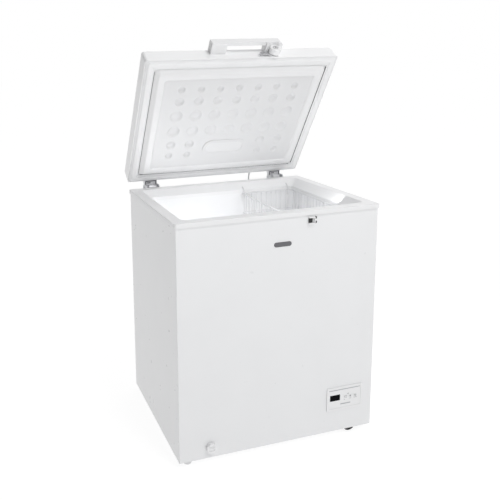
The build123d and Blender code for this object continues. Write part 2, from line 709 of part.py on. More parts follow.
with BuildPart() as control_bezel:
    with BuildSketch(facing_front(CABINET, -HALF_DEPTH)):
        with Locations((PANEL_X, PANEL_Z)):
            RectangleRounded(PANEL_WIDTH, PANEL_HEIGHT, 4)
    extrude(amount=BEZEL_PROUD)
    with BuildSketch(facing_front(CABINET, -HALF_DEPTH)):
        with Locations((PANEL_X, PANEL_Z)):
            Rectangle(PANEL_WIDTH - 12 - 2 * FIT, PANEL_HEIGHT - 12 - 2 * FIT)
    extrude(amount=-8)
    with BuildSketch(facing_front(CABINET, -HALF_DEPTH + 8)):
        with Locations((PANEL_X, PANEL_Z)):
            Rectangle(PANEL_WIDTH - 18, PANEL_HEIGHT - 18)
    extrude(amount=8, mode=Mode.SUBTRACT)
    with BuildSketch(facing_front(CABINET, -HALF_DEPTH - BEZEL_PROUD)):
        with Locations((PANEL_X, PANEL_Z)):
            RectangleRounded(PANEL_WIDTH - 12, PANEL_HEIGHT - 14, 3)
    extrude(amount=-1.2, mode=Mode.SUBTRACT)
    with BuildSketch(facing_front(CABINET, -HALF_DEPTH - BEZEL_PROUD)):
        with Locations((PANEL_X + WINDOW_X, PANEL_Z + KEY_Z + 1)):
            RectangleRounded(WINDOW_WIDTH, WINDOW_HEIGHT, 1)
        for key_x in KEY_SPOTS.values():
            with Locations((PANEL_X + key_x, PANEL_Z + KEY_Z)):
                RectangleRounded(KEY_WIDTH, KEY_HEIGHT, 2)
    extrude(amount=-10, mode=Mode.SUBTRACT)
save(control_bezel, "control_bezel")

with BuildPart() as display_window:
    with BuildSketch(facing_front(CABINET, -HALF_DEPTH + 0.2)):
        with Locations((PANEL_X + WINDOW_X, PANEL_Z + KEY_Z + 1)):
            RectangleRounded(WINDOW_WIDTH - 0.3, WINDOW_HEIGHT - 0.3, 0.9)
    extrude(amount=BEZEL_PROUD - 1)
save(display_window, "display_window")

for key_name, key_x in KEY_SPOTS.items():
    with BuildPart() as key:
        with BuildSketch(facing_front(CABINET, -HALF_DEPTH + 2)):
            with Locations((PANEL_X + key_x, PANEL_Z + KEY_Z)):
                RectangleRounded(KEY_WIDTH - 0.7, KEY_HEIGHT - 0.7, 1.7)
        extrude(amount=BEZEL_PROUD + 1.4)
        fillet(key.faces().sort_by(Axis.Y)[0].edges(), 0.6)
    save(key, key_name)

# ---------------------------------------------------------------- lid

PLUG_X = BAND_X - 4
PLUG_Y = BAND_Y - 4
PLUG_BOTTOM = LID_BOTTOM - 14
RING_X = PLUG_X - 16
RING_Y = PLUG_Y - 16
FIELD_X = 274
FIELD_Y = 194
FIELD_Z = PLUG_BOTTOM + 4
DIMPLE_PITCH = 70
DIMPLE_DEPTH = 5
DIMPLE_ROWS = ((-153, 13), (-103, 17), (-41, 22.5), (27, 22.5), (89, 17), (139, 13))
LAMP_Y = 111
LAMP_LENGTH = 168
LAMP_WIDTH = 68
CABLE_X = 152
CABLE_LID_Z = 807


def dimples(grow):
    """Ball-shaped dimples over the inner panel, grown by the panel's thickness for its upper side."""
    with BuildPart(LID) as made:
        for row_y, radius in DIMPLE_ROWS:
            ball = (radius**2 + DIMPLE_DEPTH**2) / (2 * DIMPLE_DEPTH)
            columns = (-3, -2, 2, 3) if row_y > 50 else range(-3, 4)
            spots = [(c * DIMPLE_PITCH, row_y, FIELD_Z + DIMPLE_DEPTH - ball) for c in columns]
            with Locations(*spots):
                Sphere(ball + grow)
    return made


with BuildPart() as lid_skin:
    with BuildSketch(LID.offset(LID_BOTTOM)):
        RectangleRounded(2 * RIM_X, 2 * RIM_Y, 10)
    extrude(amount=LID_THICKNESS)
    top_rim = lid_skin.faces().sort_by(Axis(LID.origin, LID.z_dir))[-1].edges()
    fillet(top_rim, 6)
    with BuildSketch(LID.offset(LID_BOTTOM)):
        RectangleRounded(2 * RIM_X - 4, 2 * RIM_Y - 4, 8)
    extrude(amount=LID_THICKNESS - 2, mode=Mode.SUBTRACT)
    with BuildSketch(facing_front(LID, RIM_Y)):
        with Locations((CABLE_X, CABLE_LID_Z)):
            Circle(5)
        with Locations(*LEAF_SCREWS):
            Circle(SCREW_RADIUS)
    extrude(amount=5, mode=Mode.SUBTRACT)
save(lid_skin, "lid_skin")

with BuildPart() as lid_foam:
    with BuildSketch(LID.offset(LID_BOTTOM + PANEL_SKIN + FIT)):
        RectangleRounded(2 * RIM_X - 4.4, 2 * RIM_Y - 4.4, 7.8)
    extrude(amount=LID_THICKNESS - PANEL_SKIN - 2 - 2 * FIT)
    with BuildSketch(facing_front(LID, RIM_Y)):
        with Locations((CABLE_X, CABLE_LID_Z)):
            Rectangle(24, 24)
        with Locations(*LEAF_SCREWS):
            Circle(SCREW_RADIUS)
    extrude(amount=16, mode=Mode.SUBTRACT)
save(lid_foam, "lid_foam")

with BuildPart() as lid_panel:
    with BuildSketch(LID.offset(LID_BOTTOM)):
        RectangleRounded(2 * RIM_X - 4.4, 2 * RIM_Y - 4.4, 7.8)
    extrude(amount=PANEL_SKIN)
    with BuildSketch(LID.offset(PLUG_BOTTOM)):
        RectangleRounded(2 * RING_X, 2 * RING_Y, 20)
    with BuildSketch(LID.offset(LID_BOTTOM)):
        RectangleRounded(2 * PLUG_X, 2 * PLUG_Y, 20)
    loft()
    with BuildSketch(LID.offset(PLUG_BOTTOM + PANEL_SKIN)):
        RectangleRounded(2 * RING_X - 4, 2 * RING_Y - 4, 18)
    with BuildSketch(LID.offset(LID_BOTTOM + PANEL_SKIN)):
        RectangleRounded(2 * PLUG_X - 4, 2 * PLUG_Y - 4, 18)
    loft(mode=Mode.SUBTRACT)
    with BuildSketch(LID.offset(PLUG_BOTTOM)):
        RectangleRounded(2 * FIELD_X + 4, 2 * FIELD_Y + 4, 14)
    extrude(amount=FIELD_Z - PLUG_BOTTOM + PANEL_SKIN)
    add(dimples(PANEL_SKIN).part)
    with BuildSketch(LID.offset(PLUG_BOTTOM)):
        Rectangle(900, 900)
    extrude(amount=-150, mode=Mode.SUBTRACT)
    with BuildSketch(LID.offset(PLUG_BOTTOM)):
        RectangleRounded(2 * FIELD_X, 2 * FIELD_Y, 12)
    extrude(amount=FIELD_Z - PLUG_BOTTOM, mode=Mode.SUBTRACT)
    add(dimples(0).part, mode=Mode.SUBTRACT)
    with BuildSketch(LID.offset(PLUG_BOTTOM)):
        with Locations((0, LAMP_Y)):
            SlotOverall(LAMP_LENGTH - 16, LAMP_WIDTH - 16)
    extrude(amount=20, mode=Mode.SUBTRACT)
save(lid_panel, "lid_panel")

with BuildPart() as lamp_bezel:
    with BuildSketch(LID.offset(FIELD_Z)):
        with Locations((0, LAMP_Y)):
            SlotOverall(LAMP_LENGTH, LAMP_WIDTH)
            SlotOverall(LAMP_LENGTH - 24, LAMP_WIDTH - 24, mode=Mode.SUBTRACT)
    extrude(amount=-3)
    with BuildSketch(LID.offset(FIELD_Z)):
        with Locations((0, LAMP_Y)):
            SlotOverall(LAMP_LENGTH - 16.4, LAMP_WIDTH - 16.4)
            SlotOverall(LAMP_LENGTH - 24, LAMP_WIDTH - 24, mode=Mode.SUBTRACT)
    extrude(amount=7)
save(lamp_bezel, "lamp_bezel")

with BuildPart() as lamp_lens:
    with BuildSketch(LID.offset(FIELD_Z - 2)):
        with Locations((0, LAMP_Y)):
            SlotOverall(LAMP_LENGTH - 24.4, LAMP_WIDTH - 24.4)
    extrude(amount=4)
save(lamp_lens, "lamp_lens")

GASKET_X = RIM_X - 6
GASKET_Y = RIM_Y - 6
GASKET_WIDTH = 26

with BuildPart() as lid_gasket:
    with BuildSketch(LID.offset(CABINET_TOP + 0.5)):
        RectangleRounded(2 * GASKET_X, 2 * GASKET_Y, 12)
        RectangleRounded(2 * (GASKET_X - GASKET_WIDTH), 2 * (GASKET_Y - GASKET_WIDTH), 6, mode=Mode.SUBTRACT)
    extrude(amount=LID_GAP - 0.5)
    sealing_face = lid_gasket.faces().sort_by(Axis(LID.origin, LID.z_dir))[0]
    chamfer(sealing_face.edges(), 1.5)
save(lid_gasket, "lid_gasket")

# ---------------------------------------------------------------- handle and lock

HANDLE_LEFT = -119
HANDLE_RIGHT = 136
HANDLE_PROUD = 40
HANDLE_BOTTOM = LID_TOP - 30
GRIP_LEFT = -65
GRIP_RIGHT = 77
BAR_THICKNESS = 13
BAR_BOTTOM = LID_TOP - 24
GRIP_X = (GRIP_LEFT + GRIP_RIGHT) / 2
LID_FRONT = -RIM_Y - FIT
LOCK_X = STRIKE_X
LOCK_Z = 812
HOUSING_RADIUS = 19
BARREL_RADIUS = 10

with BuildPart() as handle:
    with BuildSketch(LID.offset(HANDLE_BOTTOM)):
        with Locations(((HANDLE_LEFT + HANDLE_RIGHT) / 2, LID_FRONT - HANDLE_PROUD / 2)):
            Rectangle(HANDLE_RIGHT - HANDLE_LEFT, HANDLE_PROUD)
    extrude(amount=LID_TOP - HANDLE_BOTTOM - 1)
    upright = Axis(LID.origin, LID.z_dir)
    forward = Axis(LID.origin, -LID.y_dir)
    fillet(handle.edges().filter_by(upright).group_by(forward)[-1].sort_by(Axis.X)[-1], 10)
    fillet(handle.edges().filter_by(upright).group_by(forward)[-1].sort_by(Axis.X)[0], 3)
    with BuildSketch(LID.offset(HANDLE_BOTTOM)):
        with Locations((GRIP_X, LID_FRONT - (HANDLE_PROUD - BAR_THICKNESS) / 2)):
            Rectangle(GRIP_RIGHT - GRIP_LEFT, HANDLE_PROUD - BAR_THICKNESS)
    extrude(amount=LID_TOP, mode=Mode.SUBTRACT)
    with BuildSketch(LID.offset(HANDLE_BOTTOM)):
        with Locations((GRIP_X, LID_FRONT - HANDLE_PROUD / 2)):
            Rectangle(GRIP_RIGHT - GRIP_LEFT, HANDLE_PROUD + 2)
    extrude(amount=BAR_BOTTOM - HANDLE_BOTTOM, mode=Mode.SUBTRACT)
    with BuildSketch(facing_front(LID, LID_FRONT - HANDLE_PROUD - 5)):
        with Locations((LOCK_X, LOCK_Z)):
            Circle(HOUSING_RADIUS + FIT)
    extrude(amount=-HANDLE_PROUD - 10, mode=Mode.SUBTRACT)
save(handle, "handle")

HOUSING_FRONT = LID_FRONT - 29
CAM_BACK = LID_FRONT - 6.3
CAM_THICKNESS = 2.5
CAM_REACH = LOCK_Z - STRIKE_Z - 2

with BuildPart() as lock_housing:
    with BuildSketch(facing_front(LID, LID_FRONT)):
        with Locations((LOCK_X, LOCK_Z)):
            Circle(HOUSING_RADIUS)
    extrude(amount=29)
    fillet(lock_housing.edges().group_by(forward)[-1], 1.5)
    with BuildSketch(facing_front(LID, HOUSING_FRONT)):
        with Locations((LOCK_X, LOCK_Z)):
            Circle(BARREL_RADIUS + RUNNING_GAP)
    extrude(amount=-(CAM_BACK - HOUSING_FRONT), mode=Mode.SUBTRACT)
    with BuildSketch(facing_front(LID, CAM_BACK + 0.4)):
        with Locations((LOCK_X - 7, LOCK_Z - 7)):
            Rectangle(28, 28)
    extrude(amount=CAM_THICKNESS + 0.9, mode=Mode.SUBTRACT)
save(lock_housing, "lock_housing")

with BuildPart() as lock_barrel:
    with BuildSketch(facing_front(LID, CAM_BACK - CAM_THICKNESS - 0.5)):
        with Locations((LOCK_X, LOCK_Z)):
            Circle(BARREL_RADIUS)
    extrude(amount=CAM_BACK - CAM_THICKNESS - 0.5 - HOUSING_FRONT + 1)
    with BuildSketch(facing_front(LID, CAM_BACK)):
        with Locations((LOCK_X, LOCK_Z)):
            Circle(4)
    extrude(amount=CAM_THICKNESS + 0.6)
    with BuildSketch(facing_front(LID, HOUSING_FRONT - 1)):
        with Locations((LOCK_X, LOCK_Z)):
            Rectangle(2, 9)
    extrude(amount=-8, mode=Mode.SUBTRACT)
save(lock_barrel, "lock_barrel")

# The cam points sideways when unlocked and swings down, so its bent tip enters the keeper from the side.
with BuildPart() as lock_cam:
    with BuildSketch(facing_front(LID, CAM_BACK)):
        with Locations((LOCK_X - CAM_REACH / 2, LOCK_Z)):
            SlotOverall(CAM_REACH + 12, 12)
        with Locations((LOCK_X, LOCK_Z)):
            Circle(4, mode=Mode.SUBTRACT)
        with Locations((LOCK_X - CAM_REACH - 6, LOCK_Z)):
            Rectangle(8, 14, mode=Mode.SUBTRACT)
    extrude(amount=CAM_THICKNESS)
    with BuildSketch(facing_front(LID, CAM_BACK - CAM_THICKNESS)):
        with Locations((LOCK_X - CAM_REACH, LOCK_Z)):
            Rectangle(4, 8)
    extrude(amount=-(CAM_THICKNESS + 5.3))
save(lock_cam, "lock_cam")

# ---------------------------------------------------------------- hinges

BASE_BOTTOM = 700
BASE_SHOULDER = RIM_BOTTOM - 2
BASE_TOP = CABINET_TOP + 8
CHEEK_FRONT = RIM_Y + 1.5
CHEEK_BACK = HALF_DEPTH + 41
LEAF_WIDTH = HINGE_WIDTH - 2 * CHEEK - 2
PLUNGER_Y = PIN_Y - 4.5
PLUNGER_RADIUS = 7
SPRING_LOW = 706
SPRING_PITCH = 6
SPRING_RADIUS = 8
WIRE_RADIUS = 1.2
SPRING_TURNS = 9
HEAD_BOTTOM = SPRING_LOW + SPRING_TURNS * SPRING_PITCH + WIRE_RADIUS + 0.3
CAM_CENTRE_Y = PIN_Y - CAM_OFFSET * cos(radians(CAM_PHASE))
CAM_CENTRE_Z = PIN_Z + CAM_OFFSET * sin(radians(CAM_PHASE))
PLUNGER_TOP = PIN_Z + CAM_OFFSET * sin(radians(CAM_PHASE + REST_ANGLE)) - CAM_RADIUS - 0.4

for side_name, hinge_x in (("left", -HINGE_X), ("right", HINGE_X)):
    with BuildPart() as hinge_base:
        with BuildSketch(facing_right(CABINET, hinge_x)):
            with BuildLine():
                Polyline(
                    (HALF_DEPTH, BASE_BOTTOM),
                    (HALF_DEPTH, BASE_SHOULDER),
                    (CHEEK_FRONT, BASE_SHOULDER),
                    (CHEEK_FRONT, BASE_TOP),
                    (CHEEK_BACK - 8, BASE_TOP),
                    (CHEEK_BACK, BASE_TOP - 8),
                    (CHEEK_BACK, BASE_BOTTOM + 14),
                    (CHEEK_BACK - 14, BASE_BOTTOM),
                    close=True,
                )
            make_face()
        extrude(amount=HINGE_WIDTH / 2, both=True)
        with BuildSketch(facing_right(CABINET, hinge_x)):
            with Locations((HALF_DEPTH + CHEEK + 50, BASE_BOTTOM + 65)):
                Rectangle(100, 200)
        extrude(amount=HINGE_WIDTH / 2 - CHEEK, both=True, mode=Mode.SUBTRACT)
        with BuildSketch(CABINET.offset(BASE_BOTTOM)):
            with Locations((hinge_x, HALF_DEPTH + 19)):
                Rectangle(HINGE_WIDTH - 2, 36)
        extrude(amount=SPRING_LOW - WIRE_RADIUS - 0.3 - BASE_BOTTOM)
        with BuildSketch(CABINET.offset(767)):
            with Locations((hinge_x, HALF_DEPTH + 20)):
                Rectangle(HINGE_WIDTH - 2, 38)
            with Locations((hinge_x, PLUNGER_Y)):
                Circle(PLUNGER_RADIUS + RUNNING_GAP, mode=Mode.SUBTRACT)
        extrude(amount=2.5)
        with BuildSketch(facing_right(CABINET, hinge_x)):
            with Locations((PIN_Y, PIN_Z)):
                Circle(PIN_RADIUS)
        extrude(amount=HINGE_WIDTH, both=True, mode=Mode.SUBTRACT)
        with BuildSketch(facing_front(CABINET, HALF_DEPTH)):
            with Locations(*BASE_SCREWS):
                Circle(SCREW_RADIUS)
        extrude(amount=-4, mode=Mode.SUBTRACT)
    save(hinge_base, f"hinge_base_{side_name}")

    with BuildPart() as hinge_leaf:
        with BuildSketch(facing_front(LID, RIM_Y)):
            with Locations((hinge_x, 824)):
                RectangleRounded(LEAF_WIDTH, 48, 3)
        extrude(amount=-2.5)
        for arm_x in (hinge_x - LEAF_WIDTH / 2, hinge_x + LEAF_WIDTH / 2 - CHEEK):
            with BuildSketch(facing_right(LID, arm_x)):
                with BuildLine():
                    Polyline(
                        (RIM_Y + 1, 800),
                        (RIM_Y + 1, 840),
                        (PIN_Y + 6, PIN_Z + 6),
                        (PIN_Y, PIN_Z),
                        close=True,
                    )
                make_face()
                with Locations((PIN_Y, PIN_Z)):
                    Circle(9)
            extrude(amount=CHEEK)
        with BuildSketch(facing_right(LID, hinge_x)):
            with BuildLine():
                Polyline(
                    (RIM_Y, 800),
                    (RIM_Y + 2.5, 802.5),
                    (PIN_Y - 2, PIN_Z + 6),
                    (PIN_Y - 4.5, PIN_Z + 4),
                    close=True,
                )
            make_face()
            with Locations((PIN_Y, PIN_Z)):
                Circle(6)
        extrude(amount=LEAF_WIDTH / 2, both=True)
        with BuildSketch(facing_right(LID, hinge_x)):
            with Locations((CAM_CENTRE_Y, CAM_CENTRE_Z)):
                Circle(CAM_RADIUS)
        extrude(amount=10, both=True)
        with BuildSketch(facing_right(LID, hinge_x)):
            with Locations((PIN_Y, PIN_Z)):
                Circle(PIN_RADIUS + RUNNING_GAP)
        extrude(amount=HINGE_WIDTH, both=True, mode=Mode.SUBTRACT)
        with BuildSketch(facing_front(LID, RIM_Y)):
            with Locations(*LEAF_SCREWS):
                Circle(SCREW_RADIUS)
        extrude(amount=-3, mode=Mode.SUBTRACT)
    save(hinge_leaf, f"hinge_leaf_{side_name}")

    with BuildPart() as hinge_plunger:
        with BuildSketch(CABINET.offset(HEAD_BOTTOM)):
            with Locations((hinge_x, PLUNGER_Y)):
                Circle(PLUNGER_RADIUS)
        extrude(amount=PLUNGER_TOP - HEAD_BOTTOM)
        fillet(hinge_plunger.faces().sort_by(Axis.Z)[-1].edges(), 1)
        with BuildSketch(CABINET.offset(SPRING_LOW + 6)):
            with Locations((hinge_x, PLUNGER_Y)):
                Circle(4)
        extrude(amount=HEAD_BOTTOM - SPRING_LOW - 6)
    save(hinge_plunger, f"hinge_plunger_{side_name}")

    coil = Helix(
        SPRING_PITCH,
        SPRING_TURNS * SPRING_PITCH,
        SPRING_RADIUS,
        center=CABINET.from_local_coords((hinge_x, PLUNGER_Y, SPRING_LOW)),
    )
    with BuildPart() as hinge_spring:
        with BuildSketch(Plane(coil @ 0, z_dir=coil % 0)):
            Circle(WIRE_RADIUS)
        sweep(path=coil, is_frenet=True)
    save(hinge_spring, f"hinge_spring_{side_name}")

with BuildPart() as hinge_pins:
    for hinge_x in (-HINGE_X, HINGE_X):
        with BuildSketch(facing_right(CABINET, hinge_x)):
            with Locations((PIN_Y, PIN_Z)):
                Circle(PIN_RADIUS)
        extrude(amount=HINGE_WIDTH / 2 + 2.5, both=True)
        for head_x in (hinge_x - HINGE_WIDTH / 2 - 2, hinge_x + HINGE_WIDTH / 2):
            with BuildSketch(facing_right(CABINET, head_x)):
                with Locations((PIN_Y, PIN_Z)):
                    Circle(PIN_RADIUS + 2)
            extrude(amount=2)
save(hinge_pins, "hinge_pins")

# Identical screws are one group: a shank through the plate and a domed head on its outer face.
for group_name, frame, face_y, plate, spots in (
    ("hinge_base_screws", CABINET, HALF_DEPTH, CHEEK, BASE_SCREWS),
    ("hinge_leaf_screws", LID, RIM_Y, 2.5, LEAF_SCREWS),
):
    with BuildPart() as screws:
        with BuildSketch(facing_front(frame, face_y + plate)):
            with Locations(*spots):
                Circle(SCREW_RADIUS)
        extrude(amount=plate + 12)
        with BuildSketch(facing_front(frame, face_y + plate)):
            with Locations(*spots):
                Circle(4.6)
        extrude(amount=-2.6)
        fillet(screws.edges().group_by(Axis(frame.origin, frame.y_dir))[-1], 1.2)
        with BuildSketch(facing_front(frame, face_y + plate + 2.6)):
            with Locations(*spots):
                Rectangle(5, 1)
                Rectangle(1, 5)
        extrude(amount=1.4, mode=Mode.SUBTRACT)
    save(screws, group_name)

# ---------------------------------------------------------------- lamp cable

CABLE_RADIUS = 3

for grommet_name, frame, face_y, spot_x, spot_z, hole in (
    ("cable_grommet_cabinet", CABINET, HALF_DEPTH, GLAND_X, GLAND_Z, 6),
    ("cable_grommet_lid", LID, RIM_Y, CABLE_X, CABLE_LID_Z, 5),
):
    with BuildPart() as grommet:
        with BuildSketch(facing_front(frame, face_y)):
            with Locations((spot_x, spot_z)):
                Circle(hole + 2)
        extrude(amount=-1.8)
        with BuildSketch(facing_front(frame, face_y)):
            with Locations((spot_x, spot_z)):
                Circle(hole)
        extrude(amount=4)
        with BuildSketch(facing_front(frame, face_y + 2)):
            with Locations((spot_x, spot_z)):
                Circle(CABLE_RADIUS + 0.3)
        extrude(amount=8, mode=Mode.SUBTRACT)
    save(grommet, grommet_name)

cable_mouth = CABINET.to_local_coords(LID.from_local_coords(Vector(CABLE_X, RIM_Y - 1, CABLE_LID_Z)))
cable_lead = CABINET.to_local_coords(LID.from_local_coords(Vector(CABLE_X, RIM_Y + 11, CABLE_LID_Z)))
lamp_cable = rod(
    (
        (GLAND_X, HALF_DEPTH - 3, GLAND_Z),
        (GLAND_X, HALF_DEPTH + 20, GLAND_Z),
        (CABLE_X, HALF_DEPTH + 29, GLAND_Z + 24),
        (CABLE_X, cable_lead.Y + 6, cable_lead.Z - 30),
        (CABLE_X, cable_lead.Y, cable_lead.Z),
        (CABLE_X, cable_mouth.Y, cable_mouth.Z),
    ),
    CABLE_RADIUS,
)
save(lamp_cable, "lamp_cable")

# ---------------------------------------------------------------- hanging basket

BASKET_LEFT = 70
BASKET_RIGHT = 280
BASKET_Y = 196
BASKET_TOP = 758
BASKET_BOTTOM = 556
BASKET_MIDDLE = (BASKET_LEFT + BASKET_RIGHT) / 2
BASKET_WIDTH = BASKET_RIGHT - BASKET_LEFT
BASKET_WIRE = 3
BASKET_HEIGHT = BASKET_TOP - BASKET_BOTTOM
WALL_MIDDLE = (BASKET_TOP + BASKET_BOTTOM) / 2

with BuildPart() as basket:
    with BuildSketch(CABINET.offset(BASKET_BOTTOM)):
        with Locations((BASKET_MIDDLE, 0)):
            RectangleRounded(BASKET_WIDTH, 2 * BASKET_Y, 12)
    extrude(amount=BASKET_HEIGHT)
    with BuildSketch(CABINET.offset(BASKET_BOTTOM + BASKET_WIRE)):
        with Locations((BASKET_MIDDLE, 0)):
            RectangleRounded(BASKET_WIDTH - 2 * BASKET_WIRE, 2 * (BASKET_Y - BASKET_WIRE), 9)
    extrude(amount=BASKET_HEIGHT, mode=Mode.SUBTRACT)
    with BuildSketch(facing_right(CABINET, BASKET_LEFT - 5)):
        with Locations((0, WALL_MIDDLE)):
            with GridLocations(44, 64, 8, 3):
                Rectangle(40, 60)
    extrude(amount=BASKET_WIDTH + 10, mode=Mode.SUBTRACT)
    with BuildSketch(facing_front(CABINET, -BASKET_Y - 5)):
        with Locations((BASKET_MIDDLE, WALL_MIDDLE)):
            with GridLocations(46, 64, 4, 3):
                Rectangle(42, 60)
    extrude(amount=-(2 * BASKET_Y + 10), mode=Mode.SUBTRACT)
    with BuildSketch(CABINET.offset(BASKET_BOTTOM - 1)):
        with Locations((BASKET_MIDDLE, 0)):
            with GridLocations(46, 44, 4, 8):
                Rectangle(42, 40)
    extrude(amount=BASKET_WIRE + 2, mode=Mode.SUBTRACT)
    for side in (-1, 1):
        for hook_x in (BASKET_LEFT + 10, BASKET_RIGHT - 16):
            with BuildSketch(facing_right(CABINET, hook_x)):
                with BuildLine():
                    Polyline(
                        (side * (BASKET_Y - 3), 740),
                        (side * BASKET_Y, 740),
                        (side * BASKET_Y, 763.4),
                        (side * (BASKET_Y + 16), 776.7),
                        (side * (BASKET_Y + 14), 779.1),
                        (side * (BASKET_Y - 3), 764.9),
                        close=True,
                    )
                make_face()
            extrude(amount=6)
save(basket, "basket")
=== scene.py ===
"""Looks of the chest freezer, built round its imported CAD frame. Metres, +Z up, front towards -Y.

Shapes are given in millimetres, with the cabinet centred and the lid closed; CABINET and LID place them.
"""

import json
import math

import bmesh
import bpy
from mathutils import Matrix, Vector


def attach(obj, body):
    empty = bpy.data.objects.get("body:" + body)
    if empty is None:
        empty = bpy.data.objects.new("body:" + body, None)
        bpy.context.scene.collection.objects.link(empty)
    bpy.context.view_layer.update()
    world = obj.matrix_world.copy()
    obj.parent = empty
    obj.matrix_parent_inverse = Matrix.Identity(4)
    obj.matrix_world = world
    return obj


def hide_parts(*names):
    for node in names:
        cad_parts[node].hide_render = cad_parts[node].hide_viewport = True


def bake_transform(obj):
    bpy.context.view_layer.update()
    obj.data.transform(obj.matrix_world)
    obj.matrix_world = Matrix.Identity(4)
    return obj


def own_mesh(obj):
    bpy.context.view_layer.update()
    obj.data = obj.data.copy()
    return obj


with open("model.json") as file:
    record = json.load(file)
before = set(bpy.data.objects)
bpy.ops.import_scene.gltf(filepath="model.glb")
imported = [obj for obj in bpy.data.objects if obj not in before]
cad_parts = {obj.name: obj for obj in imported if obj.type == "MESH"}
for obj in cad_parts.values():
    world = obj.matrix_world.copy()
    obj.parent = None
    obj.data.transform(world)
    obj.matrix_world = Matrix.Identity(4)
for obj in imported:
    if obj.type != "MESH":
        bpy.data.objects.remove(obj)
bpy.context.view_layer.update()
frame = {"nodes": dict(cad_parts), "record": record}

MM = 0.001
CABINET_Y = -0.029
REST_ANGLE = math.radians(57)
PIN_Y = 0.292
PIN_Z = 0.787

CABINET = Matrix.Translation((0, CABINET_Y, 0))
LID = (
    Matrix.Translation((0, CABINET_Y + PIN_Y, PIN_Z))
    @ Matrix.Rotation(-REST_ANGLE, 4, "X")
    @ Matrix.Translation((0, -PIN_Y, -PIN_Z))
)


# ---------------------------------------------------------------- materials


def socket(node, name, value):
    node.inputs[name].default_value = value


def noise(nodes, links, place, scale, detail):
    """A noise in the object's own coordinates, which gives its value output."""
    field = nodes.new("ShaderNodeTexNoise")
    socket(field, "Scale", scale)
    socket(field, "Detail", detail)
    links.new(place.outputs["Object"], field.inputs["Vector"])
    return field.outputs["Fac"]


def bumped(nodes, links, height, strength, distance):
    bump = nodes.new("ShaderNodeBump")
    socket(bump, "Strength", strength)
    socket(bump, "Distance", distance)
    links.new(height, bump.inputs["Height"])
    return bump


def surface(
    name,
    colour,
    roughness=0.4,
    metallic=0.0,
    mottle=0.02,
    mottle_scale=9.0,
    grain=0.0,
    grain_scale=900.0,
    wave=0.0,
    wave_scale=120.0,
    rough_spread=0.06,
    coat=0.0,
    shine=0.5,
):
    """A procedural finish: colour drifts gently, roughness varies, and two bumps give long waves and grain."""
    material = bpy.data.materials.new(name)
    material.use_nodes = True
    nodes, links = material.node_tree.nodes, material.node_tree.links
    shader = nodes["Principled BSDF"]
    place = nodes.new("ShaderNodeTexCoord")

    tint = nodes.new("ShaderNodeValToRGB")
    darkest, lightest = tint.color_ramp.elements
    darkest.position = 0.35
    darkest.color = (*[max(0.0, c * (1 - mottle)) for c in colour], 1)
    lightest.position = 0.65
    lightest.color = (*[min(1.0, c * (1 + mottle)) for c in colour], 1)
    links.new(noise(nodes, links, place, mottle_scale, 4), tint.inputs["Fac"])
    links.new(tint.outputs["Color"], shader.inputs["Base Color"])

    spread = nodes.new("ShaderNodeMapRange")
    socket(spread, "To Min", max(0.02, roughness - rough_spread))
    socket(spread, "To Max", min(1.0, roughness + rough_spread))
    links.new(noise(nodes, links, place, mottle_scale * 5, 3), spread.inputs["Value"])
    links.new(spread.outputs["Result"], shader.inputs["Roughness"])

    normal = None
    for strength, scale, distance in ((wave, wave_scale, 0.001), (grain, grain_scale, 0.0003)):
        if not strength:
            continue
        bump = bumped(nodes, links, noise(nodes, links, place, scale, 2), strength, distance)
        if normal is not None:
            links.new(normal, bump.inputs["Normal"])
        normal = bump.outputs["Normal"]
    if normal is not None:
        links.new(normal, shader.inputs["Normal"])

    socket(shader, "Metallic", metallic)
    socket(shader, "Coat Weight", coat)
    socket(shader, "Specular IOR Level", shine)
    return material


def embossed(name, colour):
    """Stucco-embossed sheet: rounded cells pressed into a satin finish."""
    material = surface(name, colour, metallic=0.05, mottle=0.015)
    nodes, links = material.node_tree.nodes, material.node_tree.links
    cells = nodes.new("ShaderNodeTexVoronoi")
    cells.feature = "SMOOTH_F1"
    socket(cells, "Scale", 260)
    links.new(nodes["Texture Coordinate"].outputs["Object"], cells.inputs["Vector"])
    bump = bumped(nodes, links, cells.outputs["Distance"], 0.35, 0.0006)
    links.new(bump.outputs["Normal"], nodes["Principled BSDF"].inputs["Normal"])
    return material


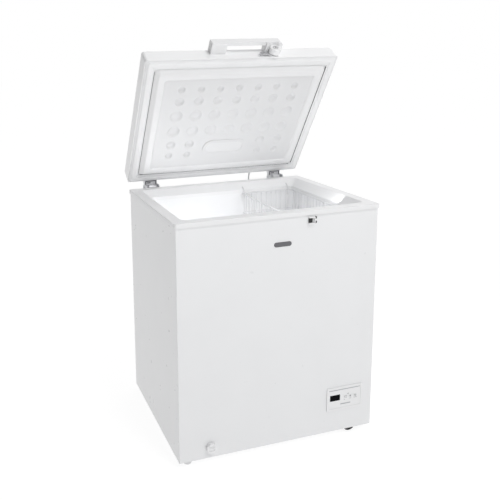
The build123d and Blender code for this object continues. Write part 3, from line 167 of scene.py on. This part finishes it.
M = {
    "white_paint": surface(
        "white_enamel", (0.82, 0.825, 0.835), 0.3, mottle=0.006, wave=0.03, wave_scale=140, coat=0.25
    ),
    # The lid's enamel is a lighter copy of the cabinet's white enamel. Its extra lightness is painted light on
    # the lid.
    "lid_paint_lit": surface(
        "lid_enamel_lit", (0.88, 0.883, 0.89), 0.3, mottle=0.006, wave=0.05, wave_scale=140, coat=0.25
    ),
    "badge_grey": surface("badge_grey", (0.13, 0.13, 0.14), 0.4, mottle=0.02, grain=0.05),
    "grey_panel": surface("coated_grey_sheet", (0.56, 0.58, 0.6), 0.45, 0.35, 0.02, 6, grain=0.2, wave=0.12),
    "zinc_steel": surface(
        "zinc_plate", (0.62, 0.63, 0.65), 0.36, 0.9, 0.1, 60, grain=0.25, grain_scale=500, rough_spread=0.12
    ),
    "spring_steel": surface("spring_wire", (0.28, 0.28, 0.29), 0.3, 0.95, 0.08, 80, grain=0.15),
    "hinge_steel": surface("hinge_enamel", (0.66, 0.67, 0.69), 0.38, 0.1, 0.02, 40, grain=0.25, coat=0.1),
    "leaf_steel": surface("leaf_steel", (0.72, 0.72, 0.74), 0.4, 0.3, 0.03, 40, grain=0.2),
    # Dark strips on the hinge leaves: painted shade in the leaf's creases.
    "leaf_shade_line": surface("leaf_shade_line", (0.1, 0.1, 0.11), 0.5),
    "foam": surface(
        "foam", (0.86, 0.79, 0.6), 0.9, 0, 0.08, 40, grain=0.8, grain_scale=350, wave=0.3, wave_scale=60
    ),
    "liner_metal": embossed("embossed_liner", (0.86, 0.865, 0.875)),
    "white_plastic": surface("white_plastic", (0.83, 0.832, 0.84), 0.36, mottle=0.006, grain=0.08, coat=0.08),
    "grey_plastic": surface("grey_plastic", (0.8, 0.803, 0.81), 0.34, mottle=0.01, grain=0.08, coat=0.12),
    "gasket_rubber": surface(
        "gasket_vinyl", (0.79, 0.792, 0.80), 0.55, mottle=0.02, grain=0.2, grain_scale=600
    ),
    # The inner panel's ring and field are darker copies of the white plastic, and the field is darker still:
    # painted shade. The field's finish is also a little rougher.
    "panel_white_shaded": surface("panel_white_shaded", (0.765, 0.767, 0.775), 0.36, mottle=0.006, grain=0.08, coat=0.08),
    "panel_field_shaded": surface("panel_field_shaded", (0.70, 0.702, 0.71), 0.4, mottle=0.006, grain=0.08),
    "lens": surface("opal_lens", (0.74, 0.742, 0.75), 0.34, mottle=0.004, grain=0.1, coat=0.15),
    "display_black": surface(
        "display_window", (0.004, 0.004, 0.005), 0.45, mottle=0.1, grain=0.02, shine=0.03
    ),
    "black_rubber": surface(
        "black_rubber", (0.03, 0.03, 0.031), 0.62, mottle=0.2, mottle_scale=60, grain=0.5, grain_scale=500
    ),
    "cable_white": surface(
        "cable_sheath", (0.62, 0.625, 0.635), 0.5, mottle=0.02, grain=0.2, grain_scale=1200
    ),
    "compressor_black": surface(
        "black_enamel", (0.016, 0.016, 0.018), 0.3, mottle=0.3, mottle_scale=20, wave=0.25, coat=0.4
    ),
    "black_plastic": surface("black_plastic", (0.025, 0.025, 0.026), 0.48, mottle=0.1, grain=0.3),
    "copper": surface("copper_pipe", (0.72, 0.38, 0.24), 0.3, 1.0, 0.14, 50, grain=0.1, rough_spread=0.12),
    "lock_metal": surface("nickel", (0.66, 0.66, 0.67), 0.24, 0.95, 0.04, 60, grain=0.1, grain_scale=1500),
    "basket_wire": surface("coated_wire", (0.73, 0.735, 0.745), 0.32, 0, 0.02, 30, grain=0.12, coat=0.3),
    "print": surface("panel_print", (0.16, 0.165, 0.18), 0.5, mottle=0.05, grain=0.05),
    "pale_print": surface("pale_print", (0.42, 0.43, 0.45), 0.5, mottle=0.03, grain=0.05),
    # A dark finish for the gap strips, the rim seam and the key slot: painted shade where shade falls in them.
    "dark_gap": surface("shadow_groove", (0.1, 0.1, 0.105), 0.7, mottle=0.05, grain=0.1),
}

slot_of = {part["node"]: part["material_slot"] for part in frame["record"]["subparts"]}
# The lid's skin takes the lighter copy of the enamel, which is painted light. The lamp bezel takes the panel
# field's darker copy, which is painted shade.
FINISH_OF = {"lid_skin": "lid_paint_lit", "badge": "badge_grey", "lamp_bezel": "panel_field_shaded"}
for node, thing in frame["nodes"].items():
    finish = M[FINISH_OF.get(node, slot_of[node])]
    if not thing.material_slots:
        thing.data.materials.append(finish)
    for one in thing.material_slots:
        one.material = finish


def piece(name, mesh, place, body, slot, material=None, replaced=()):
    """Puts a finished mesh or curve into the scene, where it rides on a body."""
    thing = bpy.data.objects.new(name, mesh)
    bpy.context.scene.collection.objects.link(thing)
    thing.matrix_world = place
    mesh.materials.append(M[material or slot])
    if replaced:
        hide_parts(*replaced)
    if body:
        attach(thing, body)
    return thing


# ---------------------------------------------------------------- shape helpers


def smooth(mesh, angle=35):
    for polygon in mesh.polygons:
        polygon.use_smooth = True
    mesh.set_sharp_from_angle(angle=math.radians(angle))
    return mesh


def to_mesh(name, build, angle=35):
    mesh = bpy.data.meshes.new(name)
    build.normal_update()
    build.to_mesh(mesh)
    build.free()
    return smooth(mesh, angle)


def rounded_outline(half_x, half_y, radius, steps=6):
    """Points of a rounded rectangle, anticlockwise."""
    points = []
    for corner in range(4):
        cx = (half_x - radius) * (1, -1, -1, 1)[corner]
        cy = (half_y - radius) * (1, 1, -1, -1)[corner]
        for step in range(steps + 1):
            turn = math.radians(90 * corner + 90 * step / steps)
            points.append((cx + radius * math.cos(turn), cy + radius * math.sin(turn)))
    return points


def rectangle(x, z, width, height):
    return [
        (x - width / 2, z - height / 2),
        (x + width / 2, z - height / 2),
        (x + width / 2, z + height / 2),
        (x - width / 2, z + height / 2),
    ]


def disc(x, z, radius, steps=24):
    turns = [2 * math.pi * k / steps for k in range(steps)]
    return [(x + radius * math.cos(t), z + radius * math.sin(t)) for t in turns]


def box_distance(x, y, half_x, half_y, radius):
    """Signed distance to a rounded rectangle, negative inside."""
    qx, qy = abs(x) - half_x + radius, abs(y) - half_y + radius
    return min(max(qx, qy), 0) + math.hypot(max(qx, 0), max(qy, 0)) - radius


def ease(t):
    t = min(1.0, max(0.0, t))
    return t * t * (3 - 2 * t)


def join_rows(build, pairs):
    """Faces between pairs of rows of vertices, where each row is a closed loop."""
    for row, following in pairs:
        for i in range(len(row)):
            j = (i + 1) % len(row)
            build.faces.new((row[i], row[j], following[j], following[i]))


def ring_sweep(name, half_x, half_y, radius, profile, steps=8):
    """Sweeps a closed profile of (inset, z) points round a rounded rectangle."""
    build = bmesh.new()
    rows = []
    for inset, z in profile:
        outline = rounded_outline(half_x - inset, half_y - inset, max(1.0, radius - inset), steps)
        rows.append([build.verts.new((x * MM, y * MM, z * MM)) for x, y in outline])
    join_rows(build, zip(rows, rows[1:] + rows[:1]))
    bmesh.ops.recalc_face_normals(build, faces=build.faces)
    return to_mesh(name, build)


def extruded(name, outline, low, high, bevel, segments, axis="Y"):
    """A prism of an outline across the X or Y axis, from low to high along it, with its rims rounded."""
    build = bmesh.new()

    def spot(u, v, w):
        return (u * MM, w * MM, v * MM) if axis == "Y" else (w * MM, u * MM, v * MM)

    bottom = [build.verts.new(spot(u, v, low)) for u, v in outline]
    top = [build.verts.new(spot(u, v, high)) for u, v in outline]
    build.faces.new(bottom)
    build.faces.new(top)
    join_rows(build, [(bottom, top)])
    bmesh.ops.recalc_face_normals(build, faces=build.faces)
    if bevel:
        rims = [e for e in build.edges if len(e.link_faces) == 2 and e.calc_face_angle(0) > math.radians(40)]
        bmesh.ops.bevel(
            build,
            geom=rims,
            offset=bevel * MM,
            segments=segments,
            profile=0.5,
            affect="EDGES",
            clamp_overlap=True,
        )
    return to_mesh(name, build)


def wires(name, runs, radius, sides=3):
    """Round wires along straight-run paths, all in one curve. Each run is (points, closed)."""
    curve = bpy.data.curves.new(name, "CURVE")
    curve.dimensions = "3D"
    curve.bevel_depth = radius * MM
    curve.bevel_resolution = sides
    curve.use_fill_caps = True
    for points, closed in runs:
        spline = curve.splines.new("POLY")
        spline.points.add(len(points) - 1)
        for spot, point in zip(spline.points, points):
            spot.co = (point[0] * MM, point[1] * MM, point[2] * MM, 1)
        spline.use_cyclic_u = closed
        spline.use_smooth = True
    return curve


# ---------------------------------------------------------------- lid

PANEL_HALF_X, PANEL_HALF_Y = 346.0, 264.0
PANEL_GRID = 2.4
PANEL_THICKNESS = 1.2
LID_BOTTOM = 798
PLUG_BOTTOM = 784
PLUG_X, PLUG_Y, PLUG_CORNER = 312, 230, 20
PLUG_STEP, PLUG_STEP_WIDTH, PLUG_SLOPE_WIDTH = 5, 2, 15
FIELD_Z = 788
FIELD_X, FIELD_Y, FIELD_CORNER = 274, 194, 12
FIELD_RISE_WIDTH = 5

DIMPLE_PITCH = 70
DIMPLE_DEPTH = 6.2
DIMPLE_RIM, DIMPLE_RIM_WIDTH = 1.08, 0.16  # shares of the dimple's radius
DIMPLE_ROWS = ((-153, 13), (-103, 17), (-41, 22.5), (27, 22.5), (89, 17), (139, 13))  # (y, radius)
LAST_COLUMN = 3
LAMP_LOW_Y, LAMP_COLUMNS = 50, 2


def dimple_depth(x, y):
    """Depth of the round dimples at a point of the inner panel, with their rims eased. The lamp has none."""
    column = round(x / DIMPLE_PITCH)
    for row_y, radius in DIMPLE_ROWS:
        if abs(column) > LAST_COLUMN or (row_y > LAMP_LOW_Y and abs(column) < LAMP_COLUMNS):
            continue
        away = math.hypot(x - column * DIMPLE_PITCH, y - row_y) / radius
        if away < DIMPLE_RIM:
            return DIMPLE_DEPTH * (1 - away**4) * ease((DIMPLE_RIM - away) / DIMPLE_RIM_WIDTH)
    return 0.0


def panel_height(x, y):
    """Height of the panel: a step and a slope down to the plug, a rise to the field, and its dimples."""
    outside = box_distance(x, y, PLUG_X, PLUG_Y, PLUG_CORNER)
    slope = LID_BOTTOM - PLUG_BOTTOM - PLUG_STEP
    z = LID_BOTTOM - PLUG_STEP * ease(-outside / PLUG_STEP_WIDTH)
    z -= slope * ease((-outside - PLUG_STEP_WIDTH) / PLUG_SLOPE_WIDTH)
    inside = -box_distance(x, y, FIELD_X + 1, FIELD_Y + 1, FIELD_CORNER)
    z += (FIELD_Z - PLUG_BOTTOM) * ease((inside + FIELD_RISE_WIDTH / 2) / FIELD_RISE_WIDTH)
    return z + dimple_depth(x, y)


def lid_panel_mesh():
    """The panel as a grid of faces, with a second material on the field: a darker copy of the panel's plastic
    that paints shade there.
    """
    build = bmesh.new()
    across, along = int(2 * PANEL_HALF_X / PANEL_GRID), int(2 * PANEL_HALF_Y / PANEL_GRID)
    rows = []
    for j in range(along + 1):
        y = -PANEL_HALF_Y + 2 * PANEL_HALF_Y * j / along
        row = []
        for i in range(across + 1):
            x = -PANEL_HALF_X + 2 * PANEL_HALF_X * i / across
            row.append(build.verts.new((x * MM, y * MM, panel_height(x, y) * MM)))
        rows.append(row)
    for row, following in zip(rows, rows[1:]):
        for i in range(across):
            face = build.faces.new((row[i], following[i], following[i + 1], row[i + 1]))
            middle = face.calc_center_median() / MM
            face.material_index = int(abs(middle.x) < FIELD_X and abs(middle.y) < FIELD_Y)
    return to_mesh("inner_panel", build, 180)


panel = piece(
    "inner_panel", lid_panel_mesh(), LID, "lid", "white_plastic", "panel_white_shaded", replaced=["lid_panel"]
)
panel.data.materials.append(M["panel_field_shaded"])
thick = panel.modifiers.new("skin", "SOLIDIFY")
thick.thickness = PANEL_THICKNESS * MM
thick.offset = -1

GASKET_X, GASKET_Y, GASKET_CORNER = 342.4, 260.4, 12
GASKET_PROFILE = (
    (0, 797.8),
    (0.4, 796.4),
    (3.6, 795.6),
    (4.6, 793.6),
    (6.4, 792.7),
    (12.8, 792.55),
    (19.4, 792.7),
    (21.0, 793.6),
    (22.0, 795.2),
    (28.4, 795.4),
    (28.8, 797.8),
)
piece(
    "magnetic_gasket",
    ring_sweep("magnetic_gasket", GASKET_X, GASKET_Y, GASKET_CORNER, GASKET_PROFILE),
    LID,
    "lid",
    "gasket_rubber",
    replaced=["lid_gasket"],
)

# Painted shade in the gap between panel and gasket: dark strips, widest on the right, put where the gap's
# shade falls. (low x, high x, low y, high y) of its strips.
GAP_SHADE_STRIPS = ((312.1, 314.5, -224, 224), (-312.9, -312.4, -224, 224), (-306, 306, 230.4, 230.8))
GAP_SHADE_LOW, GAP_SHADE_HIGH = 794.6, 796.5
gap_shade_build = bmesh.new()
for low_x, high_x, low_y, high_y in GAP_SHADE_STRIPS:
    low, high = (low_x, low_y, GAP_SHADE_LOW), (high_x, high_y, GAP_SHADE_HIGH)
    for spot in bmesh.ops.create_cube(gap_shade_build, size=1)["verts"]:
        spot.co = [(low[k] if spot.co[k] < 0 else high[k]) * MM for k in range(3)]
piece("panel_gap_shade", to_mesh("panel_gap_shade", gap_shade_build), LID, "lid", "gasket_rubber", "dark_gap")

# ---------------------------------------------------------------- basket

BASKET_X0, BASKET_X1 = 72, 278
BASKET_Y = 194
BASKET_TOP, BASKET_FLOOR = 756, 558
BASKET_CORNER = 12
BASKET_TAPER = 4
BASKET_MIDDLE = (BASKET_X0 + BASKET_X1) / 2
BASKET_HALF = (BASKET_X1 - BASKET_X0) / 2
HEAVY_WIRE, LIGHT_WIRE = 2.2, 1.3
WIRES_ACROSS, WIRES_ALONG = 10, 18
HOOK_X = (83, 267)
HOOK_PATH = ((-0.5, 735), (-0.5, 760), (1.5, 766), (14, 776.4), (16.5, 777.2))  # (outwards, z)


def basket_ring(z, inset=0.0):
    """A closed run round the basket."""
    outline = rounded_outline(BASKET_HALF - inset, BASKET_Y - inset, BASKET_CORNER)
    return [(BASKET_MIDDLE + x, y, z) for x, y in outline], True


heavy = [
    basket_ring(BASKET_TOP),
    basket_ring(BASKET_FLOOR + 60, 2),
    basket_ring(BASKET_FLOOR + 2, BASKET_TAPER),
]
light = [basket_ring(BASKET_FLOOR + 125, 1.5)]
for k in range(1, WIRES_ACROSS):
    x = BASKET_X0 + 2 * BASKET_HALF * k / WIRES_ACROSS
    bends = (
        (-BASKET_Y, BASKET_TOP),
        (-BASKET_Y + BASKET_TAPER, BASKET_FLOOR),
        (BASKET_Y - BASKET_TAPER, BASKET_FLOOR),
        (BASKET_Y, BASKET_TOP),
    )
    light.append(([(x, y, z) for y, z in bends], False))
for k in range(1, WIRES_ALONG):
    y = -BASKET_Y + 2 * BASKET_Y * k / WIRES_ALONG
    bends = (
        (BASKET_X0, BASKET_TOP),
        (BASKET_X0 + BASKET_TAPER, BASKET_FLOOR),
        (BASKET_X1 - BASKET_TAPER, BASKET_FLOOR),
        (BASKET_X1, BASKET_TOP),
    )
    light.append(([(x, y, z) for x, z in bends], False))
for side in (-1, 1):
    for hook_x in HOOK_X:
        heavy.append(([(hook_x, side * (BASKET_Y + out), z) for out, z in HOOK_PATH], False))
piece(
    "basket_frame",
    wires("basket_frame", heavy, HEAVY_WIRE),
    CABINET,
    "basket",
    "basket_wire",
    replaced=["basket"],
)
piece("basket_mesh", wires("basket_mesh", light, LIGHT_WIRE), CABINET, "basket", "basket_wire")

# ---------------------------------------------------------------- lamp cable

LEAD_RADIUS = 2.9
LEAD_CABINET_Z = 0.736
LEAD_LID_Z = 0.807

cable = bpy.data.curves.new("lamp_lead", "CURVE")
cable.dimensions = "3D"
cable.bevel_depth = LEAD_RADIUS * MM
cable.bevel_resolution = 4
cable.resolution_u = 24
cable.use_fill_caps = True
lead = LID @ Vector((0.152, 0.2775, LEAD_LID_Z))
route = [
    CABINET @ Vector((0.150, 0.259, LEAD_CABINET_Z)),
    CABINET @ Vector((0.150, 0.282, LEAD_CABINET_Z)),
    CABINET @ Vector((0.152, 0.291, 0.760)),
    Vector((0.152, lead.y + 0.006, lead.z - 0.030)),
    lead,
    LID @ Vector((0.152, 0.2655, LEAD_LID_Z)),
]
spline = cable.splines.new("NURBS")
spline.points.add(len(route) - 1)
for point, place in zip(spline.points, route):
    point.co = (*place, 1)
spline.order_u = 3
spline.use_endpoint_u = True
holder = bpy.data.objects.new("lamp_lead_line", cable)
bpy.context.scene.collection.objects.link(holder)
bpy.context.view_layer.update()
cable_mesh = bpy.data.meshes.new_from_object(holder.evaluated_get(bpy.context.evaluated_depsgraph_get()))
bpy.data.objects.remove(holder)
lamp_lead = piece(
    "lamp_lead", smooth(cable_mesh, 60), Matrix.Identity(4), None, "cable_white", replaced=["lamp_cable"]
)
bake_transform(lamp_lead)

# ---------------------------------------------------------------- hinges

HINGE_X = 257
RIM_Y = 266.5
SPRING_LOW = 706
SPRING_TURNS, SPRING_PITCH, SPRING_RADIUS, WIRE_RADIUS = 9, 6, 8, 1.2
SPRING_Y = 287.5
COIL_SIDES, COIL_STEPS = 10, 28

# The leaf's web runs from WEB_START in (y, z). Its dark lines are painted shade along the insides of the
# cheeks and across the web. Each line: place along it, half width, low x, high x.
WEB_START = Vector((RIM_Y, 800))
WEB_ALONG = Vector((21, -9)).normalized()
WEB_OUT = Vector((-WEB_ALONG.y, WEB_ALONG.x)) * -1
LEAF_SHADE_LINES = ((9.5, 8.5, -21.5, -18), (9.5, 8.5, 18, 21.5), (3.5, 1.8, -18, 18), (10, 1.6, -15, -1))
LINE_SUNK, LINE_PROUD = 0.3, 0.9


def coil_mesh(name, x):
    """A coil spring along Z, closed at both ends."""
    build = bmesh.new()
    rows = []
    count = SPRING_TURNS * COIL_STEPS
    for k in range(count + 1):
        turn = 2 * math.pi * k / COIL_STEPS
        z = SPRING_LOW + SPRING_TURNS * SPRING_PITCH * (k / count)
        centre = Vector((x + SPRING_RADIUS * math.cos(turn), SPRING_Y + SPRING_RADIUS * math.sin(turn), z))
        outward = Vector((math.cos(turn), math.sin(turn), 0))
        row = []
        for a in range(COIL_SIDES):
            lean = 2 * math.pi * a / COIL_SIDES
            spot = centre + WIRE_RADIUS * (math.cos(lean) * outward + math.sin(lean) * Vector((0, 0, 1)))
            row.append(build.verts.new(spot * MM))
        rows.append(row)
    join_rows(build, zip(rows, rows[1:]))
    build.faces.new(rows[0])
    build.faces.new(rows[-1])
    bmesh.ops.recalc_face_normals(build, faces=build.faces)
    return to_mesh(name, build, 60)


for side_name, side in (("left", -1), ("right", 1)):
    hinge_x = side * HINGE_X
    coil = piece(
        f"coil_{side_name}",
        coil_mesh(f"coil_{side_name}", hinge_x),
        CABINET,
        "cabinet",
        "spring_steel",
        replaced=[f"hinge_spring_{side_name}"],
    )
    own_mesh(coil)
    for k, (away, half_width, start, end) in enumerate(LEAF_SHADE_LINES):
        middle = WEB_START + WEB_ALONG * away
        line = [
            middle - WEB_ALONG * half_width - WEB_OUT * LINE_SUNK,
            middle + WEB_ALONG * half_width - WEB_OUT * LINE_SUNK,
            middle + WEB_ALONG * half_width + WEB_OUT * LINE_PROUD,
            middle - WEB_ALONG * half_width + WEB_OUT * LINE_PROUD,
        ]
        name = f"leaf_shade_line_{side_name}_{k}"
        mesh = extruded(name, [tuple(q) for q in line], hinge_x + start, hinge_x + end, 0.3, 2, "X")
        piece(name, mesh, LID, "lid", "zinc_steel", "leaf_shade_line")

# ---------------------------------------------------------------- front details

RIM_BOTTOM = 778
# A dark band under the rim: the real joint between rim and shell, with painted shadow under the rim's
# overhang.
SEAM_X, SEAM_Y, SEAM_CORNER = 344.25, 262.25, 3
SEAM_HEIGHT, SEAM_DEPTH = 0.55, 0.5
SEAM_PROFILE = (
    (0, RIM_BOTTOM),
    (0, RIM_BOTTOM - SEAM_HEIGHT),
    (SEAM_DEPTH, RIM_BOTTOM - SEAM_HEIGHT),
    (SEAM_DEPTH, RIM_BOTTOM),
)
piece(
    "rim_seam_shadow",
    ring_sweep("rim_seam_shadow", SEAM_X, SEAM_Y, SEAM_CORNER, SEAM_PROFILE),
    CABINET,
    "cabinet",
    "grey_plastic",
    "dark_gap",
)

FRONT_Y = -262
KEY_FACE = FRONT_Y - 2.4
PANEL_FACE = FRONT_Y - 1.8
PANEL_X, PANEL_Z = 240, 136
KEY_Z = PANEL_Z + 3
MODE_X, COLDER_X, POWER_X = 244, 262, 281
PRINT = 0.55


def marks(name, runs, face, body):
    """Thin raised marks: strokes of (x, z) points on a face at y = face."""
    drawn = [([(x, face, z) for x, z in points], closed) for points, closed in runs]
    return piece(name, wires(name, drawn, PRINT, 1), CABINET, body, "grey_plastic", "print")


mode_marks = [
    ([(MODE_X - 3.5, KEY_Z - 3.2), (MODE_X - 3.5, KEY_Z + 3.2)], False),
    ([(MODE_X, KEY_Z - 3.2), (MODE_X + 3.5, KEY_Z - 3.2)], False),
    ([(MODE_X, KEY_Z), (MODE_X + 2.5, KEY_Z)], False),
    ([(MODE_X, KEY_Z + 3.2), (MODE_X + 3.5, KEY_Z + 3.2)], False),
]
marks("mode_marks", mode_marks, KEY_FACE, "key_mode")

crystal = []
for degrees in (30, 90, 150):
    dx, dz = 3.4 * math.cos(math.radians(degrees)), 3.4 * math.sin(math.radians(degrees))
    crystal.append(([(COLDER_X - dx, KEY_Z - dz), (COLDER_X + dx, KEY_Z + dz)], False))
marks("colder_marks", crystal, KEY_FACE, "key_colder")

turns = [math.radians(degrees) for degrees in range(130, 411, 20)]
power_ring = [(POWER_X + 2.7 * math.cos(t), KEY_Z - 0.5 + 2.7 * math.sin(t)) for t in turns]
power_bar = [(POWER_X, KEY_Z), (POWER_X, KEY_Z + 3.4)]
marks("power_marks", [(power_ring, False), (power_bar, False)], KEY_FACE, "key_power")

panel_marks = [
    ([(250.5, PANEL_Z + 11.5), (253, PANEL_Z + 14.5), (255.5, PANEL_Z + 11.5)], True),
    ([(258, PANEL_Z - 6), (265, PANEL_Z - 6)], False),
    ([(275, PANEL_Z - 5.5), (287, PANEL_Z - 5.5)], False),
    ([(238, PANEL_Z - 7), (242, PANEL_Z - 7)], False),
]
marks("panel_marks", panel_marks, PANEL_FACE, "cabinet")

STRIKE_X, STRIKE_Z = 105, 761
LOCK_X, LOCK_Z = 105, 812
BARREL_FACE = -RIM_Y - 30.2


def front_piece(name, outline, low, high, bevel, segments, slot, material=None):
    """A flat piece on the cabinet's front."""
    piece(name, extruded(name, outline, low, high, bevel, segments), CABINET, "cabinet", slot, material)


# The first bar is a printed grey bar. The second, above the panel, is painted shadow under the upper wall of
# the panel's recess, drawn in the print's grey.
BARS = (
    ("panel_bar", rectangle(MODE_X, PANEL_Z - 21, 38, 3.4), 0.25),
    ("panel_recess_shadow", rectangle(PANEL_X, PANEL_Z + 31.2, 117, 2.6), 0.15),
)
for name, outline, proud in BARS:
    front_piece(name, outline, PANEL_FACE - proud, PANEL_FACE + 0.4, 0.1, 2, "grey_plastic", "pale_print")

# A dark sheet in the strike's pocket: painted shade where the pocket lies in shadow.
pocket_shade = rectangle(STRIKE_X - 6.5, STRIKE_Z, 14.5, 15.6)
front_piece("strike_pocket_shade", pocket_shade, FRONT_Y - 2.6, FRONT_Y - 1.45, 0.4, 2, "black_rubber")
# Screw heads in the strike plate, drawn black. Their black also paints the shade of their recessed holes.
for k, screw_z in enumerate((STRIKE_Z - 7.2, STRIKE_Z + 7.2)):
    head = disc(STRIKE_X + 11.5, screw_z, 4.7)
    front_piece(f"strike_screw_shade_{k}", head, FRONT_Y - 2.6, FRONT_Y - 0.2, 0.6, 3, "black_rubber")

# A dark solid in the lock barrel's key slot: painted shade inside the keyway.
keyway_shade = extruded("keyway_shade", rectangle(LOCK_X, LOCK_Z, 1.8, 8.8), BARREL_FACE + 0.5, BARREL_FACE + 6, 0, 1)
piece("keyway_shade", keyway_shade, LID, "lock", "lock_metal", "dark_gap")

# ---------------------------------------------------------------- floor and world

FLOOR_HALF = 30
floor_build = bmesh.new()
bmesh.ops.create_grid(floor_build, x_segments=1, y_segments=1, size=FLOOR_HALF)
floor = bpy.data.objects.new("floor", to_mesh("floor", floor_build))
bpy.context.scene.collection.objects.link(floor)
floor_material = bpy.data.materials.new("pale_floor")
floor_material.use_nodes = True
floor_shader = floor_material.node_tree.nodes["Principled BSDF"]
socket(floor_shader, "Base Color", (0.2, 0.2, 0.2, 1))
socket(floor_shader, "Roughness", 0.9)
socket(floor_shader, "Specular IOR Level", 0.0)
socket(floor_shader, "Emission Color", (1, 1, 1, 1))
socket(floor_shader, "Emission Strength", 0.88)
floor.data.materials.append(floor_material)

world = bpy.data.worlds.new("studio")
bpy.context.scene.world = world
world.use_nodes = True
world_nodes, world_links = world.node_tree.nodes, world.node_tree.links
sky = world_nodes["Background"]
direction = world_nodes.new("ShaderNodeTexCoord")
split = world_nodes.new("ShaderNodeSeparateXYZ")
world_links.new(direction.outputs["Generated"], split.inputs["Vector"])


def fade(axis, low, high, darkest):
    """Light of the world along one axis, from the darkest at low to full at high."""
    ramp = world_nodes.new("ShaderNodeMapRange")
    socket(ramp, "From Min", low)
    socket(ramp, "From Max", high)
    socket(ramp, "To Min", darkest)
    socket(ramp, "To Max", 1.0)
    world_links.new(split.outputs[axis], ramp.inputs["Value"])
    return ramp.outputs["Result"]


def combined(operation, first, second):
    node = world_nodes.new("ShaderNodeMath")
    node.operation = operation
    world_links.new(first, node.inputs[0])
    world_links.new(second, node.inputs[1])
    return node.outputs["Value"]


# The world lights less from the left and from the front. Where it is seen directly it is plain white.
shade = combined("MULTIPLY", fade("X", -0.95, 0.1, 0.13), fade("Y", -0.7, 0.1, 0.3))
rays = world_nodes.new("ShaderNodeLightPath")
backdrop = combined("MAXIMUM", shade, rays.outputs["Is Camera Ray"])
world_links.new(backdrop, sky.inputs["Color"])
socket(sky, "Strength", 1.0)

# ---------------------------------------------------------------- lights and camera


def soft_light(name, place, target, size, power):
    lamp = bpy.data.lights.new(name, "AREA")
    lamp.shape = "SQUARE"
    lamp.size = size
    lamp.energy = power
    thing = bpy.data.objects.new(name, lamp)
    bpy.context.scene.collection.objects.link(thing)
    thing.location = place
    thing.rotation_euler = (Vector(target) - Vector(place)).to_track_quat("-Z", "Y").to_euler()
    return thing


soft_light("front_light", place=(0.1, -3.4, 0.4), target=(0, 0, 0.9), size=1.6, power=12)
soft_light("top_light", place=(0.6, -2.2, 3.3), target=(0, 0, 0.9), size=1.2, power=44)
bar = soft_light("lid_light", place=(0, CABINET_Y - 0.13, 0.80), target=(0, 0.30, 0.84), size=0.6, power=0.36)
bar.data.shape = "RECTANGLE"
bar.data.size_y = 0.05
bar.visible_camera = False
soft_light("cavity_fill", place=(-0.1, CABINET_Y, 0.36), target=(-0.1, CABINET_Y, 1.0), size=0.3, power=1.0)

CAMERA_AZIMUTH = math.radians(-16.64)
CAMERA_ELEVATION = math.radians(9.966)
CAMERA_ROLL = -0.0228
CAMERA_DISTANCE = 2.0612
CAMERA_TARGET = Vector((-0.3116, CABINET_Y, 0.9144))
CAMERA_LENS, CAMERA_SENSOR = 45.25, 36
CAMERA_SHIFT = (0.1828, -0.165)
back = Vector(
    (
        math.sin(CAMERA_AZIMUTH) * math.cos(CAMERA_ELEVATION),
        -math.cos(CAMERA_AZIMUTH) * math.cos(CAMERA_ELEVATION),
        math.sin(CAMERA_ELEVATION),
    )
)
right = (-back).cross(Vector((0, 0, 1))).normalized()
up = right.cross(-back)
rolled_right = math.cos(CAMERA_ROLL) * right + math.sin(CAMERA_ROLL) * up
rolled_up = -math.sin(CAMERA_ROLL) * right + math.cos(CAMERA_ROLL) * up
lens = bpy.data.cameras.new("camera")
lens.lens = CAMERA_LENS
lens.sensor_width = CAMERA_SENSOR
lens.shift_x, lens.shift_y = CAMERA_SHIFT
lens.clip_end = 100
camera = bpy.data.objects.new("camera", lens)
bpy.context.scene.collection.objects.link(camera)
turn = Matrix((rolled_right, rolled_up, back)).transposed().to_4x4()
camera.matrix_world = Matrix.Translation(CAMERA_TARGET + back * CAMERA_DISTANCE) @ turn
bpy.context.scene.camera = camera
bpy.context.scene.view_settings.view_transform = "Standard"
